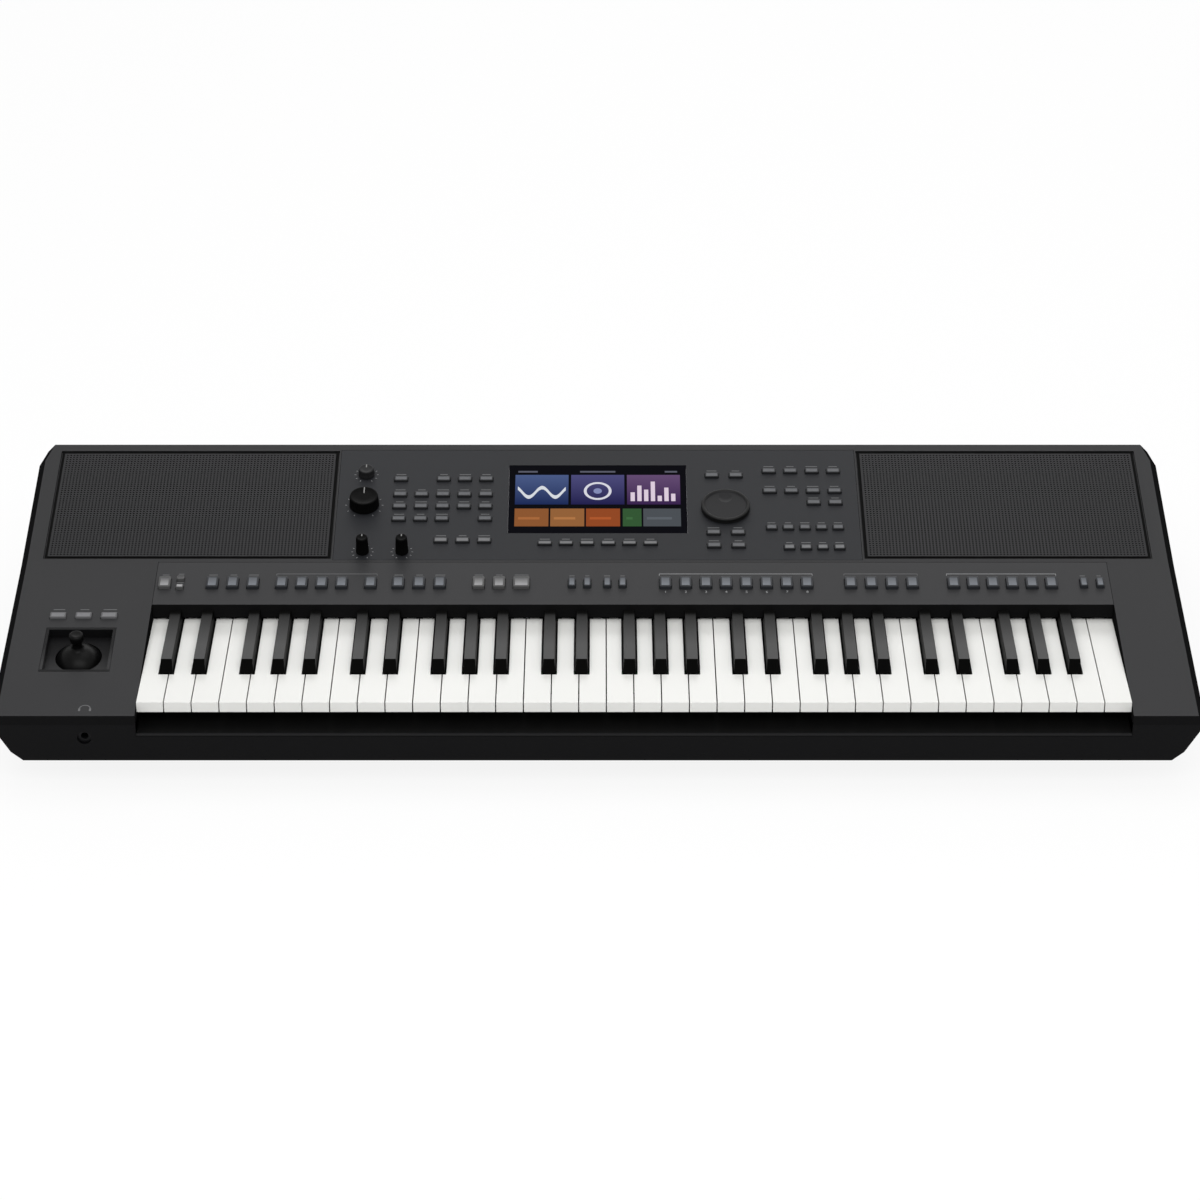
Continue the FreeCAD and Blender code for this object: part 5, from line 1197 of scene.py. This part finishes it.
# %% Rear marks and headphone mark
REAR = Matrix(((-1, 0, 0, 0), (0, 0, 1, REAR_EDGE), (0, 1, 0, 0), (0, 0, 0, 1)))
REAR_MARK_RISE = 9.5 * MM
REAR_MARK_HALF = (4.0 * MM, 0.4 * MM)
rear_marks = Shell()
for x, z in sockets:
    dash(rear_marks, -x, z + REAR_MARK_RISE, *REAR_MARK_HALF)
settle("rear_print", rear_marks, REAR, "case", (ink_dim,))

MARK_PLACE = (-435 * MM, 9.5 * MM)
ARC_INNER, ARC_OUTER = 4.2 * MM, 5.0 * MM
ARC_SECTION = ((ARC_INNER, INK), (ARC_OUTER, INK), (ARC_OUTER, -INK_SINK), (ARC_INNER, -INK_SINK))
PAD_REACH = 4.6 * MM
PAD_DROP = 1.2 * MM
PAD_HALF = (0.9 * MM, 1.7 * MM)
headphone_mark = Shell()
headphone_mark.stack([
    [(MARK_PLACE[0] + r * math.cos(t), MARK_PLACE[1] + r * math.sin(t), w) for r, w in ARC_SECTION]
    for t in [math.radians(a) for a in range(0, 181, 12)]
])
for side in (-1, 1):
    dash(headphone_mark, MARK_PLACE[0] + side * PAD_REACH, MARK_PLACE[1] - PAD_DROP, *PAD_HALF)
settle("headphone_print", headphone_mark, STRIP, "case", (ink_dim,))
print("marks on the rear and the block made")

# %% [markdown]
# ## Floor
# The photograph is a plain product shot on white with hardly any shadow. The floor is white paper. More light
# would make it whiter, and the keys with it, so a share of its white comes from a glow that the camera alone
# sees: the soft shadow stays, but stays faint.

# %% Floor
FLOOR_REACH = 9.0
FLOOR_GLOW_SHARE = 0.88
floor_shell = Shell()
floor_shell.face(tuple(floor_shell.ring([
    (-FLOOR_REACH, -FLOOR_REACH, 0), (FLOOR_REACH, -FLOOR_REACH, 0),
    (FLOOR_REACH, FLOOR_REACH, 0), (-FLOOR_REACH, FLOOR_REACH, 0),
])))
floor_finish = Finish("floor_paper", roughness=0.9, specular_ior_level=0.0)
floor_finish.set(base_color=floor_finish.mix(
    floor_finish.noise(3.0, 2.0), (0.955, 0.955, 0.955, 1), (0.965, 0.965, 0.965, 1)))
glow = floor_finish.node("ShaderNodeEmission", None, {"Color": (1, 1, 1, 1), "Strength": 1.0})
watched = floor_finish.node("ShaderNodeLightPath", out="Is Camera Ray")
paper = Wire(floor_finish, floor_finish.shader.outputs[0])
both = floor_finish.node("ShaderNodeMixShader", None, {0: watched * FLOOR_GLOW_SHARE, 1: paper, 2: glow})
floor_finish.join(both, floor_finish.tree.nodes["Material Output"].inputs["Surface"])
floor_mesh = bpy.data.meshes.new("floor")
floor_mesh.from_pydata(floor_shell.points, [], floor_shell.faces)
floor_mesh.materials.append(floor_finish.material)
floor = bpy.data.objects.new("floor", floor_mesh)
bpy.context.scene.collection.objects.link(floor)
print("floor laid, glow share", FLOOR_GLOW_SHARE)

# %% [markdown]
# ## Sky
# An even white sky gives about half of the light on the keyboard. The camera sees it at full white, and so
# do mirrors and glass, because the strength asks which kind of ray is looking. Light on the pieces and white
# behind them can then be set apart.

# %% Sky
SKY_SHARE = 0.46
world = bpy.data.worlds.new("studio")
bpy.context.scene.world = world
world.use_nodes = True
sky = Graph(world.node_tree)
backdrop = world.node_tree.nodes["Background"]
seen, mirrored, refracted = [
    sky.node("ShaderNodeLightPath", out=ray)
    for ray in ("Is Camera Ray", "Is Glossy Ray", "Is Transmission Ray")
]
shown = sky.node(
    "ShaderNodeMath", {"operation": "ADD", "use_clamp": True}, {0: seen, 1: mirrored + refracted})
sky.join((1, 1, 1, 1), backdrop.inputs["Color"])
sky.join(SKY_SHARE + (1 - SKY_SHARE) * shown, backdrop.inputs["Strength"])
print("sky share:", SKY_SHARE)

# %% [markdown]
# ## Lamps
# Three broad lamps give the rest of the light: one above and one behind add shape, and one on the player's
# side reaches the key fronts and the far ends of the keys below the skirt. Small lamps would draw hard
# shadows between the keys. Levels are low enough that a colour renders about as it is written.


# %% Lamps
def lamp(name, spot, aim, size, watts):
    data = bpy.data.lights.new(name, "AREA")
    data.shape = "RECTANGLE"
    data.size, data.size_y = size
    data.energy = watts
    piece = bpy.data.objects.new(name, data)
    piece.location = spot
    piece.rotation_euler = (Vector(aim) - Vector(spot)).to_track_quat("-Z", "Y").to_euler()
    bpy.context.scene.collection.objects.link(piece)


lamp("overhead_lamp", (0.0, 0.3, 2.6), (0, 0, 0.1), (2.6, 1.6), 21)
lamp("player_lamp", (0.0, -2.0, 2.4), (0, -0.1, 0.08), (2.6, 1.2), 43)
lamp("back_lamp", (0.3, 2.4, 1.5), (0, 0, 0.1), (2.6, 1.0), 12)
bpy.context.scene.view_settings.view_transform = "Standard"
print("lamps hung")
